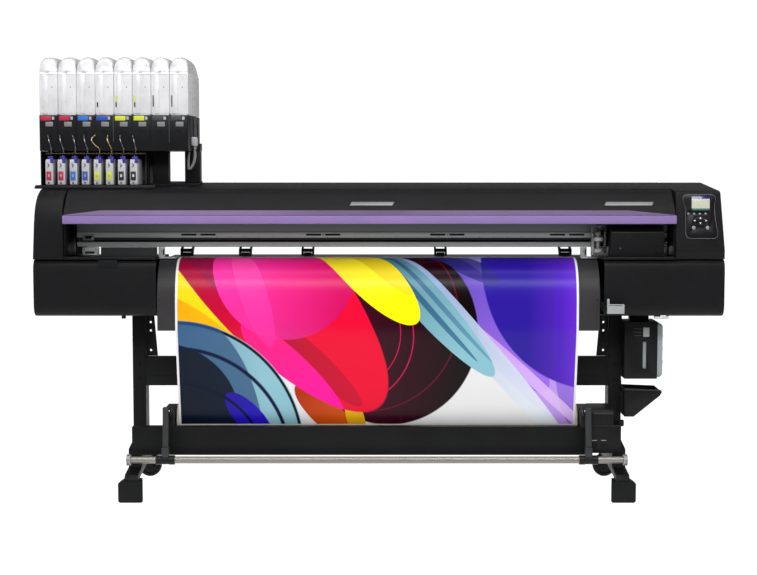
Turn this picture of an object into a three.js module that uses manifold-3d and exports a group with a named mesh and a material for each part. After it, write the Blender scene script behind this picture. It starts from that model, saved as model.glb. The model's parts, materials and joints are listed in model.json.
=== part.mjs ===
// A free-standing 1.6 m roll-to-roll printer cutter: stand, chassis, covers, carriage, media path, take-up,
// bulk ink rack and waste bottle. Millimetres, +Z up, the operator stands at -Y. The origin is on the floor
// at the middle of the machine.
import * as THREE from "three";
import { mergeVertices } from "three/addons/utils/BufferGeometryUtils.js";
import Module from "manifold-3d";

const wasm = await Module();
wasm.setup();

// ---------------------------------------------------------------- driving dimensions
const GAP = 0.5; // between pieces that touch on the real machine
const SHEET = 4; // cover and sheet-metal wall
const MID = -6; // middle of the stand and of the media

const BODY = { left: -1384, right: 1388, rear: 105, bottom: 744, ledge: 974, top: 1278 };
const BAY = { left: -1262, right: 1190 }; // the carriage bay between the two end covers
const TOP_FRONT = { y: -178, z: 1255 }; // front edge of the top cover
const TOP_SLOPE = (BODY.top - TOP_FRONT.z) / (BODY.rear - TOP_FRONT.y);

const LEG = { offset: 989, width: 54, front: -84, rear: 6, top: BODY.bottom + 5.5 };
const FOOT = { width: 100, front: -350, rear: -262, height: 84, taper: 14 };
const CASTER = { y: 190, trail: 16, radius: 50, width: 32, plate: 115.5, axle: 6 };

const MEDIA = { width: 1620, thick: 1 };
const PLATEN = { top: 972, front: -148, rear: 100, half: 866 };
const GUIDE = { half: 888, front: -290, straight: 780, bottom: 688, sheet: 3 };
const BAR = { front: -150, rear: -60, bottom: 1018, top: 1150 };
const BELT_GROOVE = { low: 1040, high: 1056, depth: 14 };
const FEED = { y: -85, radius: 11, half: 845 };
const PINCH_X = [-791, -550, -292, 256, 771];
const PINCH_SHAFT = { y: -45, z: 1027, radius: 5 };

const TAKEUP = { y: -138, z: 310, media: 62, core: 39, stub: 15, holderIn: 826, cores: 820 };
const SUPPLY = { y: 235, z: 600, media: 80, flange: 115, core: 39, stub: 15, arm: 850 };
const LOWER_BEAM = { left: -1000, right: 850, front: -262, rear: -217.5, bottom: 178, top: 293, wall: 3 };
const MOTOR_BOX = {
  left: 863, right: 983, lidRight: 952, front: -268, rear: -92, skirt: 187, bottom: 217, shelf: 300, top: 364,
};
const CROSS_BEAM = { front: -84, rear: -34, bottom: 437, top: 556 };
const TENSION = { y: -310, z: 167, radius: 14, half: 1007, arm: 852, width: 28 };
const TENSION_PIVOT = { y: -285, z: 362, pin: 6 };

const CARRIAGE = { left: 933, right: 1148, front: -262, rear: -158, bottom: 979, top: 1108 };
const CUTTER = { left: 866, right: 931, front: -235, rear: -158, bottom: 985, top: 1112 };
const BLADE = { x: 888, y: -215, radius: 8.5, bore: 9.6 };
const LEVER = { x: 893, y: -200, z: 800 };

const RACK = {
  left: -1378, right: -773, bracket: -742, front: -150, rear: 250, bottom: 1409, floor: 1441, top: 1554,
};
const INK_COUNT = 8;
const PACK_PITCH = (RACK.right - RACK.left) / INK_COUNT;
const PACK = { width: 70, depth: 388, height: 350, shoulder: 286 };
const CARTRIDGE = { first: -1338, pitch: 49, width: 30, front: -165, rear: -30, bottom: 1271, top: 1375 };
const STATION = { left: -1378, right: -936, front: -29, rear: 95, top: RACK.bottom - GAP };
const TRAY = { left: -1396, right: -909, front: -181, floor: 1270, lip: 1262 };

const PANEL = { x: 1287, bottom: 1057, height: 180, width: 141, plate: 4, tilt: Math.atan2(30, 230) };
const END_FACE = { y: -292, z: 1010 }; // lower edge of the sloping control-panel face
const KEY_TRAVEL_ROOM = 2;

const HOLDER_TOP = 362; // of the two cheeks that carry the take-up roll
const WASTE = { left: 1012, right: 1147, front: -150, rear: -15, bottom: 474, top: 710 };
const SIDE_TRAY = { left: 1013, right: 1166, front: -160, rear: -10, bottom: 318, top: 433 };

// ---------------------------------------------------------------- materials
const paint = (color, roughness, metalness = 0) =>
  new THREE.MeshStandardMaterial({ color, roughness, metalness });
const MATERIAL = {
  steelBlack: paint(0x1b1c1c, 0.55, 0.2),
  coverBlack: paint(0x1e1f20, 0.5),
  greyPlastic: paint(0x4a4a4a, 0.55),
  trim: paint(0x8f7fb4, 0.45),
  aluminium: paint(0x9aa0a0, 0.35, 0.8),
  castSilver: paint(0xa5a8a8, 0.45, 0.7),
  steelRod: paint(0xc0beb6, 0.3, 0.9),
  rubber: paint(0x141414, 0.85),
  lever: paint(0xaab0b0, 0.5),
  media: paint(0xf2f2f2, 0.3),
  cardboard: paint(0xb79f7a, 0.85),
  cartridge: paint(0xb9b9bd, 0.5),
  pack: paint(0xe2e2e4, 0.4),
  bottle: paint(0xb9bebf, 0.4),
  key: paint(0xb9bcc4, 0.5),
  panel: paint(0x111214, 0.25),
};

// ---------------------------------------------------------------- geometry helpers
const shapeOf = (points) => new THREE.Shape(points.map(([a, b]) => new THREE.Vector2(a, b)));
const extruded = (shape, depth) =>
  new THREE.ExtrudeGeometry(shape, { depth, bevelEnabled: false, steps: 1, curveSegments: 6 });

// The local x, y, z of an extruded shape become the given world axes.
function turned(geometry, x, y, z, origin) {
  const matrix = new THREE.Matrix4().makeBasis(x, y, z).setPosition(origin);
  return geometry.applyMatrix4(matrix);
}
const X = new THREE.Vector3(1, 0, 0);
const Y = new THREE.Vector3(0, 1, 0);
const Z = new THREE.Vector3(0, 0, 1);

// A side profile, given as [y, z] points or a Shape, swept from x0 to x1.
function alongX(profile, x0, x1) {
  const shape = Array.isArray(profile) ? shapeOf(profile) : profile;
  return turned(extruded(shape, x1 - x0), Y, Z, X, new THREE.Vector3(x0, 0, 0));
}
// A front profile, given as [x, z] points or a Shape, swept from y0 to y1.
function alongY(profile, y0, y1) {
  const shape = Array.isArray(profile) ? shapeOf(profile) : profile;
  return turned(extruded(shape, y1 - y0), X, Z, Y.clone().negate(), new THREE.Vector3(0, y1, 0));
}
// A plan outline, given as [x, y] points, raised from z0 to z1.
function alongZ(plan, z0, z1) {
  return turned(extruded(shapeOf(plan), z1 - z0), X, Y, Z, new THREE.Vector3(0, 0, z0));
}
function block(x0, x1, y0, y1, z0, z1) {
  const geometry = new THREE.BoxGeometry(x1 - x0, y1 - y0, z1 - z0);
  return geometry.translate((x0 + x1) / 2, (y0 + y1) / 2, (z0 + z1) / 2);
}
function roundX(radius, x0, x1, y, z, sides = 20) {
  const geometry = new THREE.CylinderGeometry(radius, radius, x1 - x0, sides);
  return geometry.rotateZ(Math.PI / 2).translate((x0 + x1) / 2, y, z);
}
function roundY(radius, y0, y1, x, z, sides = 20) {
  return new THREE.CylinderGeometry(radius, radius, y1 - y0, sides).translate(x, (y0 + y1) / 2, z);
}
function roundZ(radius, z0, z1, x, y, sides = 20) {
  const geometry = new THREE.CylinderGeometry(radius, radius, z1 - z0, sides);
  return geometry.rotateX(Math.PI / 2).translate(x, y, (z0 + z1) / 2);
}
function roundedRectangle(x0, z0, x1, z1, radius) {
  const shape = new THREE.Shape();
  shape.moveTo(x0 + radius, z0);
  shape.lineTo(x1 - radius, z0);
  shape.quadraticCurveTo(x1, z0, x1, z0 + radius);
  shape.lineTo(x1, z1 - radius);
  shape.quadraticCurveTo(x1, z1, x1 - radius, z1);
  shape.lineTo(x0 + radius, z1);
  shape.quadraticCurveTo(x0, z1, x0, z1 - radius);
  shape.lineTo(x0, z0 + radius);
  shape.quadraticCurveTo(x0, z0, x0 + radius, z0);
  return shape;
}

// ---------------------------------------------------------------- boolean helpers
function solid(geometry) {
  const bare = geometry.index ? geometry.toNonIndexed() : geometry.clone();
  bare.deleteAttribute("normal");
  bare.deleteAttribute("uv");
  const merged = mergeVertices(bare, 1e-3);
  const vertProperties = merged.attributes.position.array;
  const triVerts = new Uint32Array(merged.index.array);
  return new wasm.Manifold(new wasm.Mesh({ numProp: 3, vertProperties, triVerts }));
}
function geometryOf(manifold) {
  const mesh = manifold.getMesh();
  const geometry = new THREE.BufferGeometry();
  geometry.setAttribute("position", new THREE.BufferAttribute(new Float32Array(mesh.vertProperties), 3));
  geometry.setIndex(new THREE.BufferAttribute(new Uint32Array(mesh.triVerts), 1));
  return geometry;
}
const joined = (...geometries) => geometries.map(solid).reduce((a, b) => a.add(b));
const cut = (manifold, ...geometries) => geometries.map(solid).reduce((a, b) => a.subtract(b), manifold);

// ---------------------------------------------------------------- the object
const machine = new THREE.Group();
function add(name, shape, material, parent = machine) {
  const geometry = shape.isBufferGeometry ? shape : geometryOf(shape);
  const mesh = new THREE.Mesh(geometry, material);
  mesh.name = name;
  parent.add(mesh);
  return mesh;
}
// A group moved sideways, for a sub-assembly that is built about its own middle.
function placed(x, y = 0, z = 0) {
  const group = new THREE.Group();
  group.position.set(x, y, z);
  machine.add(group);
  return group;
}

// ---------------------------------------------------------------- stand
function legSolid() {
  const half = LEG.width / 2;
  const outline = [
    [-335, 60], [-262, 60], [-262, 88], [-37, 110], [100, 116], [250, 116], [250, 170], [LEG.rear, 212],
    [LEG.rear, LEG.top], [LEG.front, LEG.top], [LEG.front, 215], [-217, 194], [-217, 121], [-315, 109],
    [-335, 90],
  ];
  const baseHollow = [
    [-205, 130], [-37, 118], [100, 123], [251, 123], [251, 163], [LEG.rear, 205], [LEG.front, 208], [-205, 189],
  ];
  const inside = half - SHEET;
  const foot = FOOT.width / 2;
  const sides = [-1, 1].map((sign) => {
    const edge = sign * foot;
    const wedge = [
      [edge, FOOT.front], [edge + sign * 5, FOOT.front], [edge + sign * 5, FOOT.rear + 1],
      [edge - sign * FOOT.taper, FOOT.rear + 1],
    ];
    return alongZ(sign > 0 ? wedge : wedge.reverse(), -1, FOOT.height + 1);
  });
  return cut(
    joined(
      alongX(outline, -half, half),
      alongY(roundedRectangle(-foot, 0, foot, FOOT.height, 12), FOOT.front, FOOT.rear),
    ),
    ...sides,
    alongX(baseHollow, -inside, inside),
    block(-inside, inside, LEG.front + SHEET, LEG.rear + 1, 222, LEG.top - 10),
  );
}
function casterFork() {
  const cheekIn = CASTER.width / 2 + 2;
  const cheekOut = cheekIn + 5;
  const cheek = [[-14, 40], [14, 40], [22, 108], [-30, 108]].map(([x, z]) => [x - CASTER.trail, z]);
  return joined(
    roundZ(30, 106, CASTER.plate, 0, 0),
    alongY(cheek, cheekIn, cheekOut),
    alongY(cheek, -cheekOut, -cheekIn),
    roundY(CASTER.axle, -cheekOut, cheekOut, -CASTER.trail, CASTER.radius, 12),
  );
}
function casterWheel() {
  const half = CASTER.width / 2;
  return cut(
    joined(roundY(CASTER.radius, -half, half, 0, CASTER.radius, 28)),
    roundY(CASTER.axle + 0.6, -half - 1, half + 1, 0, CASTER.radius, 12),
  );
}
function addStand() {
  for (const [side, sign] of [["left", -1], ["right", 1]]) {
    const leg = placed(MID + sign * LEG.offset);
    add(`${side}_leg`, legSolid(), MATERIAL.steelBlack, leg);
    const caster = placed(MID + sign * (LEG.offset - CASTER.trail), CASTER.y);
    const facing = new THREE.Group();
    facing.rotation.z = sign < 0 ? 0 : Math.PI;
    caster.add(facing);
    add(`caster_fork_${side}`, casterFork(), MATERIAL.steelBlack, facing);
    add(`caster_wheel_${side}`, casterWheel(), MATERIAL.rubber, facing).position.x = -CASTER.trail;
  }
  const { front, rear, bottom, top } = CROSS_BEAM;
  const channel = [
    [front, bottom], [rear, bottom], [rear, bottom + SHEET], [front + SHEET, bottom + SHEET],
    [front + SHEET, top - SHEET], [rear, top - SHEET], [rear, top], [front, top],
  ];
  const reach = LEG.offset - LEG.width / 2 - GAP;
  add("cross_beam", alongX(channel, MID - reach, MID + reach), MATERIAL.steelBlack);
}

// ---------------------------------------------------------------- chassis
function baseFrame() {
  const left = BAY.left + 22;
  const right = BAY.right - 2;
  const [front, rear, low, high] = [-60, 100, 750, 850];
  const trough = [
    [front, low], [rear, low], [rear, high], [rear - SHEET, high], [rear - SHEET, low + SHEET],
    [front + SHEET, low + SHEET], [front + SHEET, high], [front, high],
  ];
  const roof = (y) => TOP_FRONT.z + (y - TOP_FRONT.y) * TOP_SLOPE - SHEET - 2;
  const cheek = [[-140, 760], [rear, 760], [rear, roof(rear)], [-140, roof(-140)]];
  const ribTop = PLATEN.top - 34 - GAP;
  const ribs = [-600, -200, 200, 600].map((x) => block(x - 3, x + 3, front, rear, low + 1, ribTop));
  const gusset = [-1, 1].map((sign) => {
    const inner = MID + sign * (LEG.offset - LEG.width / 2 - 1);
    const plate = [[inner, 560], [inner - sign * 47, 560], [inner - sign * 28, 800], [inner, 800]];
    return alongY(sign < 0 ? plate : plate.reverse(), front - 6, front + 2);
  });
  const holes = [-1, 1].flatMap((sign) => {
    const x = MID + sign * (LEG.offset - LEG.width / 2 - 20);
    return [583, 665, 700].map((z) => roundY(5, front - 10, front + 5, x, z, 8));
  });
  return cut(
    joined(
      alongX(trough, left, right),
      alongX(cheek, left, left + 6),
      alongX(cheek, right - 6, right),
      ...ribs,
      ...gusset,
    ),
    ...holes,
  );
}
// Points along the media's way from the platen's front edge down the front guide, offset outwards.
function guideCurve(offset) {
  const [y0, z0] = [PLATEN.front - 2, PLATEN.top];
  const curve = new THREE.CubicBezierCurve(
    new THREE.Vector2(y0, z0),
    new THREE.Vector2(y0 - 84, z0),
    new THREE.Vector2(GUIDE.front, z0 - 70),
    new THREE.Vector2(GUIDE.front, GUIDE.straight),
  );
  const points = curve.getPoints(14).map((p, i) => {
    const t = curve.getTangent(i / 14);
    return [p.x + t.y * offset, p.y - t.x * offset];
  });
  return [...points, [GUIDE.front - offset, GUIDE.bottom]];
}
function rearCurve(offset) {
  const curve = new THREE.CubicBezierCurve(
    new THREE.Vector2(PLATEN.rear, PLATEN.top),
    new THREE.Vector2(PLATEN.rear + 60, PLATEN.top),
    new THREE.Vector2(PLATEN.rear + 100, PLATEN.top - 50),
    new THREE.Vector2(PLATEN.rear + 110, PLATEN.top - 150),
  );
  return curve.getPoints(8).map((p, i) => {
    const t = curve.getTangent(i / 8);
    return [p.x - t.y * offset, p.y + t.x * offset];
  });
}
function addChassis() {
  add("base_frame", baseFrame(), MATERIAL.steelBlack);

  const under = PLATEN.top - 34;
  const platen = [
    ...rearCurve(0), ...rearCurve(-3).reverse().slice(0, -1), [PLATEN.rear, under], [PLATEN.rear - 8, under],
    [PLATEN.rear - 8, PLATEN.top - 6], [FEED.y + 18, PLATEN.top - 6], [FEED.y + 18, under],
    [PLATEN.front, under], [PLATEN.front, PLATEN.top], [FEED.y - 14, PLATEN.top],
    [FEED.y - 14, PLATEN.top - 27], [FEED.y + 14, PLATEN.top - 27], [FEED.y + 14, PLATEN.top],
  ];
  add("platen", alongX(platen.reverse(), -PLATEN.half, PLATEN.half), MATERIAL.aluminium);

  const sheet = [...guideCurve(0), ...guideCurve(-GUIDE.sheet).reverse()];
  add("front_guide", alongX(sheet, -GUIDE.half, GUIDE.half), MATERIAL.greyPlastic);

  const { front, rear, bottom, top } = BAR;
  const { low, high, depth } = BELT_GROOVE;
  const bar = shapeOf([
    [front, bottom], [rear, bottom], [rear, top], [front, top], [front, high], [front + depth, high],
    [front + depth, low], [front, low],
  ]);
  const hollow = [
    [front + 22, bottom + 8], [rear - 8, bottom + 8], [rear - 8, top - 8], [front + 22, top - 8],
  ];
  bar.holes.push(shapeOf(hollow));
  add("y_bar", alongX(bar, BAY.left + 29, BAY.right - 9), MATERIAL.aluminium);

  const feed = roundX(FEED.radius, -FEED.half, FEED.half, FEED.y, PLATEN.top - FEED.radius + 0.1);
  add("feed_roller", feed, MATERIAL.castSilver);
}

// ---------------------------------------------------------------- covers
const topLine = (y) => TOP_FRONT.z + (y - TOP_FRONT.y) * TOP_SLOPE;
const LOWER_FRONT = [[-262, 744], [-282, 760], [-290, 790], [-290, 930], [-282, 960], [-268, 974]];
const LOWER_INSIDE = [[-260, 748], [-279, 763], [-286, 791], [-286, 929], [-279, 957], [-266, 970]];

function lowerCover(inner, outer) {
  const [x0, x1] = [Math.min(inner, outer), Math.max(inner, outer)];
  const sign = Math.sign(outer);
  const legX = MID + sign * LEG.offset;
  const notch = [legX + sign * (LEG.width / 2 + 5), legX - sign * (LEG.width / 2 + 44)].sort((a, b) => a - b);
  const cavity = sign < 0 ? [x0 + SHEET, x1 + 10] : [x0 - 10, x1 - SHEET];
  const rear = BODY.rear;
  return cut(
    joined(alongX([[rear, 744], [rear, BODY.ledge], ...[...LOWER_FRONT].reverse()], x0, x1)),
    alongX([[rear - SHEET, 748], [rear - SHEET, 970], ...[...LOWER_INSIDE].reverse()], ...cavity),
    block(Math.min(cavity[0], x0 + SHEET), Math.max(cavity[1], x1 - SHEET), -152, rear - SHEET, 960, 980),
    block(...notch, LEG.front - 6, rear + 1, 740, 752),
  );
}
// The outer side of each end cover leans inwards towards the top.
function leanCut(outer, lean) {
  const sign = Math.sign(outer);
  const [foot, head] = [960, 1300];
  const wedge = [
    [outer + sign, foot], [outer + sign * 30, foot], [outer + sign * 30, head], [outer - sign * lean, head],
  ];
  return alongY(sign > 0 ? wedge : wedge.reverse(), -400, 200);
}
function endCover(x0, x1, outer, lean, face) {
  const rear = BODY.rear;
  const skin = [[rear, BODY.ledge + GAP], [rear, topLine(rear)], [-178, topLine(-178)], ...face];
  const wall = 5;
  const inside = [
    [rear - wall, BODY.ledge - 5], [rear - wall, topLine(rear - wall) - wall], [-176, topLine(-176) - wall],
    ...face.map(([y, z]) => [y + wall, z > BODY.ledge + 1 ? z - 3 : z - 10]),
  ];
  const outerWall = lean + SHEET;
  const cavity = outer < 0 ? [x0 + outerWall, x1 - wall] : [x0 + wall, x1 - outerWall];
  return cut(joined(alongX(skin, x0, x1)), alongX(inside, ...cavity), leanCut(outer, lean));
}
function addCovers() {
  add("left_lower_cover", lowerCover(-892, BODY.left), MATERIAL.coverBlack);
  add("right_lower_cover", lowerCover(905, BODY.right), MATERIAL.coverBlack);

  const leftFace = [[-235, 1232], [-278, 1180], [-290, 1120], [-290, BODY.ledge + GAP]];
  add("left_end_cover", endCover(BODY.left, BAY.left - GAP, BODY.left, 14, leftFace), MATERIAL.coverBlack);

  const faceTop = [END_FACE.y + 230 * Math.tan(PANEL.tilt), END_FACE.z + 230];
  const rightFace = [[-232, 1250], faceTop, [END_FACE.y, END_FACE.z], [-280, BODY.ledge + GAP]];
  const rightEnd = endCover(BAY.right + GAP, BODY.right, BODY.right, 20, rightFace);
  add("right_end_cover", rightEnd, MATERIAL.coverBlack);

  const rear = BODY.rear;
  const roof = [
    [rear, 1016], [rear, topLine(rear)], [TOP_FRONT.y, TOP_FRONT.z], [TOP_FRONT.y, TOP_FRONT.z - SHEET],
    [rear - SHEET, topLine(rear - SHEET) - SHEET], [rear - SHEET, 1016],
  ];
  add("top_cover", alongX(roof, BAY.left + 2, BAY.right - 2), MATERIAL.coverBlack);

  const skin = [[-182, 1253], [-236, 1220], [-288, 1168]];
  const back = [[-283, 1166], [-233, 1216], [-184, 1246]];
  const cover = joined(
    alongX([...skin, ...back], BAY.left + 6, BAY.right - 6),
    roundX(5, BAY.left + 6, BAY.right - 6, -188, 1245, 12),
  );
  add("front_cover", cover, MATERIAL.coverBlack);

  const trim = [
    [-283, 1165], [-288, 1167], [-301, 1160], [-306, 1146], [-306, 1119], [-296, 1117], [-292, 1150],
  ];
  add("front_trim", alongX(trim, BAY.left + 2, BAY.right - 2), MATERIAL.trim);
}

// ---------------------------------------------------------------- control panel
// Keys, seen from the front: name, x and z from the panel plate's lower middle, half width, half height.
const KEYS = [
  ["function_key_1", -48, 101, 6.5, 4.5],
  ["function_key_2", -25, 101, 6.5, 4.5],
  ["function_key_3", -2, 101, 6.5, 4.5],
  ["function_key_4", 21, 101, 6.5, 4.5],
  ["jog_pad", 0, 73, 31, 16],
  ["end_key", -27, 45, 8, 8],
  ["enter_key", 28, 45, 8, 8],
];
function keyShape(x, z, a, b, grow = 0) {
  const shape = new THREE.Shape();
  shape.absellipse(x, z, a + grow, b + grow, 0, Math.PI * 2);
  return shape;
}
function addPanel() {
  // The group's x is the plate's width, its y points into the machine and its z runs up the sloping face.
  const group = new THREE.Group();
  const rise = PANEL.bottom - END_FACE.z;
  group.position.set(PANEL.x, END_FACE.y + rise * Math.tan(PANEL.tilt) - GAP, PANEL.bottom);
  group.rotation.x = -PANEL.tilt;
  machine.add(group);

  const half = PANEL.width / 2;
  const outline = new THREE.Shape();
  outline.moveTo(-half + 30, 0);
  outline.lineTo(half - 18, 0);
  outline.quadraticCurveTo(half, 2, half, 20);
  outline.bezierCurveTo(half, 45, half - 12, 60, half - 12, 140);
  outline.bezierCurveTo(half - 12, 150, half - 6, 152, half - 8, 164);
  outline.quadraticCurveTo(half - 12, PANEL.height, half - 30, PANEL.height);
  outline.lineTo(-half + 18, PANEL.height);
  outline.quadraticCurveTo(-half, PANEL.height - 2, -half, 160);
  outline.bezierCurveTo(-half, 148, -half + 10, 142, -half + 10, 110);
  outline.lineTo(-half + 10, 22);
  outline.quadraticCurveTo(-half + 12, 2, -half + 30, 0);
  for (const [, x, z, a, b] of KEYS) outline.holes.push(keyShape(x, z, a, b, 0.8));
  add("control_panel", alongY(outline, -PANEL.plate, 0), MATERIAL.panel, group);

  for (const [name, x, z, a, b] of KEYS) {
    const key = alongY(keyShape(0, 0, a, b), -PANEL.plate - 1.6, -KEY_TRAVEL_ROOM);
    add(name, key, MATERIAL.key, group).position.set(x, 0, z);
  }
}

// ---------------------------------------------------------------- carriage and cutter
function addCarriage() {
  const { low, high, depth } = BELT_GROOVE;
  const tongue = (x0, x1) => block(x0, x1, CARRIAGE.rear - 2, BAR.front + depth - 4, low + 3, high - 3);
  const c = CARRIAGE;
  const side = [
    [c.rear, c.bottom], [c.rear, c.top], [c.front + 22, c.top], [c.front, c.top - 26],
    [c.front, c.bottom + 8], [c.front + 8, c.bottom],
  ];
  const carriage = joined(alongX(side, c.left, c.right), tongue(c.left + 10, c.right - 10));
  add("print_carriage", carriage, MATERIAL.coverBlack);

  const k = CUTTER;
  const head = cut(
    joined(
      block(k.left, k.right, k.rear - 17, k.rear, k.bottom, k.top),
      block(BLADE.x - 22, BLADE.x + 22, k.front, k.rear - 16, 1000, 1060),
      block(BLADE.x - 22, BLADE.x - 12, k.front + 16, k.rear - 16, k.bottom, 1080),
      block(BLADE.x + 22, BLADE.x + 36, k.front + 24, k.rear - 16, 1012, 1096),
      tongue(k.left + 6, k.right - 6),
    ),
    roundZ(BLADE.bore, 990, 1070, BLADE.x, BLADE.y, 12),
  );
  add("cutter_carriage", head, MATERIAL.castSilver);

  const profile = [
    [0, 983], [2, 984], [3, 992], [BLADE.radius, 998], [BLADE.radius, 1069], [12, 1069], [12, 1084], [0, 1086],
  ];
  const lathe = new THREE.LatheGeometry(profile.map(([r, z]) => new THREE.Vector2(r, z)), 12);
  add("blade_holder", lathe.rotateX(Math.PI / 2), MATERIAL.steelRod).position.set(BLADE.x, BLADE.y, 0);
}
function addPinchAndLever() {
  const arm = [[-52, 1032], [-56, 1013], [-97, 1006], [-97, 978], [-72, 978], [-38, 1008], [-38, 1032]];
  const roller = 9;
  const z = PLATEN.top + MEDIA.thick + 0.9 + roller;
  const reach = PINCH_X.at(-1) - PINCH_X[0];
  const pinch = joined(
    roundX(PINCH_SHAFT.radius, -30, reach + 30, PINCH_SHAFT.y, PINCH_SHAFT.z, 12),
    ...PINCH_X.flatMap((x) => {
      const at = x - PINCH_X[0];
      return [alongX(arm, at - 25, at + 25), roundX(roller, at - 22, at + 22, FEED.y, z, 16)];
    }),
  );
  add("pinch_rollers", pinch, MATERIAL.rubber).position.x = PINCH_X[0];

  const plate = [[-16, -10], [10, -10], [16, 6], [4, 14], [-104, 0], [-116, 0], [-116, -26], [-108, -26]];
  const [grip, end] = [20, 89];
  const lever = joined(
    alongX(plate, 0, 8),
    roundX(8, 0, 66, 0, 0, 14),
    block(0, end, -116, -106, -30, -12),
    block(grip, end, -122, -106, -41, -3),
    block(grip, grip + 9, -122, -110, -41, 19),
  );
  add("clamp_lever", lever, MATERIAL.lever).position.set(LEVER.x, LEVER.y, LEVER.z);
}

// ---------------------------------------------------------------- media rolls and take-up
// One cheek that carries the end of the take-up roll, with the ear that the tension arm hangs on.
function takeupHolder(sign, foot, thickness) {
  const at = (distance) => MID + sign * distance;
  const span = (a, b) => [Math.min(at(a), at(b)), Math.max(at(a), at(b))];
  const cheek = [
    [LOWER_BEAM.front, foot], [LOWER_BEAM.rear + 1, foot], [LOWER_BEAM.rear + 1, 272], [-90, 272],
    [-90, HOLDER_TOP], [LOWER_BEAM.front, HOLDER_TOP],
  ];
  const { y: earY, z: earZ, pin } = TENSION_PIVOT;
  const ear = [
    [earY - 15, earZ - 20], [earY + 35, earZ - 20], [earY + 35, HOLDER_TOP], [earY + 18, earZ + 14],
    [earY - 8, earZ + 14], [earY - 15, earZ + 8],
  ];
  const earIn = TENSION.arm - TENSION.width / 2 - 10;
  return {
    add: [
      alongX(cheek, ...span(TAKEUP.holderIn, TAKEUP.holderIn + thickness)),
      alongX(ear, ...span(earIn, earIn + 8)),
    ],
    cut: [
      roundX(TAKEUP.stub + 2, ...span(TAKEUP.holderIn - 5, TAKEUP.holderIn + 26), TAKEUP.y, TAKEUP.z),
      roundX(pin + 1, ...span(earIn - 5, earIn + 12), earY, earZ, 12),
    ],
  };
}
function rollOn(axis, half, stubEnd, flange) {
  const pieces = [
    roundX(axis.media, MID - half, MID + half, axis.y, axis.z, 36),
    roundX(axis.core, MID - half - 5, MID + half + 5, axis.y, axis.z, 24),
    roundX(axis.stub, MID - stubEnd, MID + stubEnd, axis.y, axis.z, 16),
  ];
  if (flange) {
    pieces.push(roundX(flange, MID - half - 9, MID - half - 3, axis.y, axis.z, 32));
    pieces.push(roundX(flange, MID + half + 3, MID + half + 9, axis.y, axis.z, 32));
  }
  return joined(...pieces);
}
function addTakeup() {
  const { front, rear, bottom, top, wall } = LOWER_BEAM;
  const rectangle = (inset) => [
    [front + inset, bottom + inset], [rear - inset, bottom + inset], [rear - inset, top - inset],
    [front + inset, top - inset],
  ];
  const tube = shapeOf(rectangle(0));
  tube.holes.push(shapeOf(rectangle(wall)));
  const beam = alongX(tube, LOWER_BEAM.left, LOWER_BEAM.right);
  const left = takeupHolder(-1, top - 1, 40);
  add("lower_beam", cut(joined(beam, ...left.add), ...left.cut), MATERIAL.steelBlack);

  const right = takeupHolder(1, top + GAP, 54);
  const box = MOTOR_BOX;
  const lid = [
    [box.front, box.shelf], [box.rear, box.shelf], [box.rear, box.top], [box.front + 10, box.top],
    [box.front, box.top - 10],
  ];
  const motor = joined(
    alongX(lid, box.left, box.lidRight),
    block(box.left, box.right, box.front, box.rear, box.bottom, box.shelf + 1),
    block(box.left, box.right, box.front, box.front + 42, box.skirt, box.bottom + 1),
    ...right.add,
  );
  add("takeup_motor", cut(motor, ...right.cut), MATERIAL.coverBlack);

  add("takeup_roll", rollOn(TAKEUP, TAKEUP.cores, TAKEUP.holderIn + 22), MATERIAL.cardboard);

  const t = TENSION;
  const { y: pivotY, z: pivotZ, pin } = TENSION_PIVOT;
  const arm = [
    [pivotY - 14, pivotZ + 16], [pivotY + 13, pivotZ + 16], [pivotY + 13, pivotZ - 22], [t.y + 14, t.z],
    [t.y - 14, t.z], [pivotY - 15, pivotZ - 22],
  ];
  const pieces = [roundX(t.radius, MID - t.half, MID + t.half, t.y, t.z, 16)];
  for (const sign of [-1, 1]) {
    const x = MID + sign * t.arm;
    const end = MID + sign * (t.half - 7);
    const inside = x - sign * (t.width / 2 + 10);
    pieces.push(alongX(arm, x - t.width / 2, x + t.width / 2));
    pieces.push(roundX(19, x - 38, x + 38, t.y, t.z, 16));
    pieces.push(roundX(23, end - 8, end + 8, t.y, t.z, 16));
    pieces.push(roundX(pin, Math.min(inside, x), Math.max(inside, x), pivotY, pivotZ, 12));
  }
  add("tension_bar", joined(...pieces), MATERIAL.steelRod);
}
function addSupply() {
  const barFront = LEG.rear + GAP;
  const armOutline = [
    [barFront, 440], [80, 440], [262, 572], [262, 628], [210, 628], [60, 480], [barFront, 480],
  ];
  const reach = LEG.offset + 5;
  const stand = [block(MID - reach, MID + reach, barFront, barFront + 30, 440, 480)];
  const bores = [];
  for (const sign of [-1, 1]) {
    const x = MID + sign * SUPPLY.arm;
    stand.push(alongX(armOutline, x - 6, x + 6));
    bores.push(roundX(SUPPLY.stub + 2, x - 10, x + 10, SUPPLY.y, SUPPLY.z));
  }
  add("supply_stand", cut(joined(...stand), ...bores), MATERIAL.steelBlack);
  add("supply_roll", rollOn(SUPPLY, MEDIA.width / 2, SUPPLY.arm + 14, SUPPLY.flange), MATERIAL.cardboard);
}
// Where a line from a point touches a circle about an axis, on its front (-1) or its rear (1) side.
function tangentPoint([y, z], axis, radius, side) {
  const far = Math.hypot(axis.y - y, axis.z - z);
  const turn = Math.atan2(axis.z - z, axis.y - y) + side * Math.asin(radius / far);
  const reach = Math.sqrt(far * far - radius * radius);
  return [y + reach * Math.cos(turn), z + reach * Math.sin(turn)];
}
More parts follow.
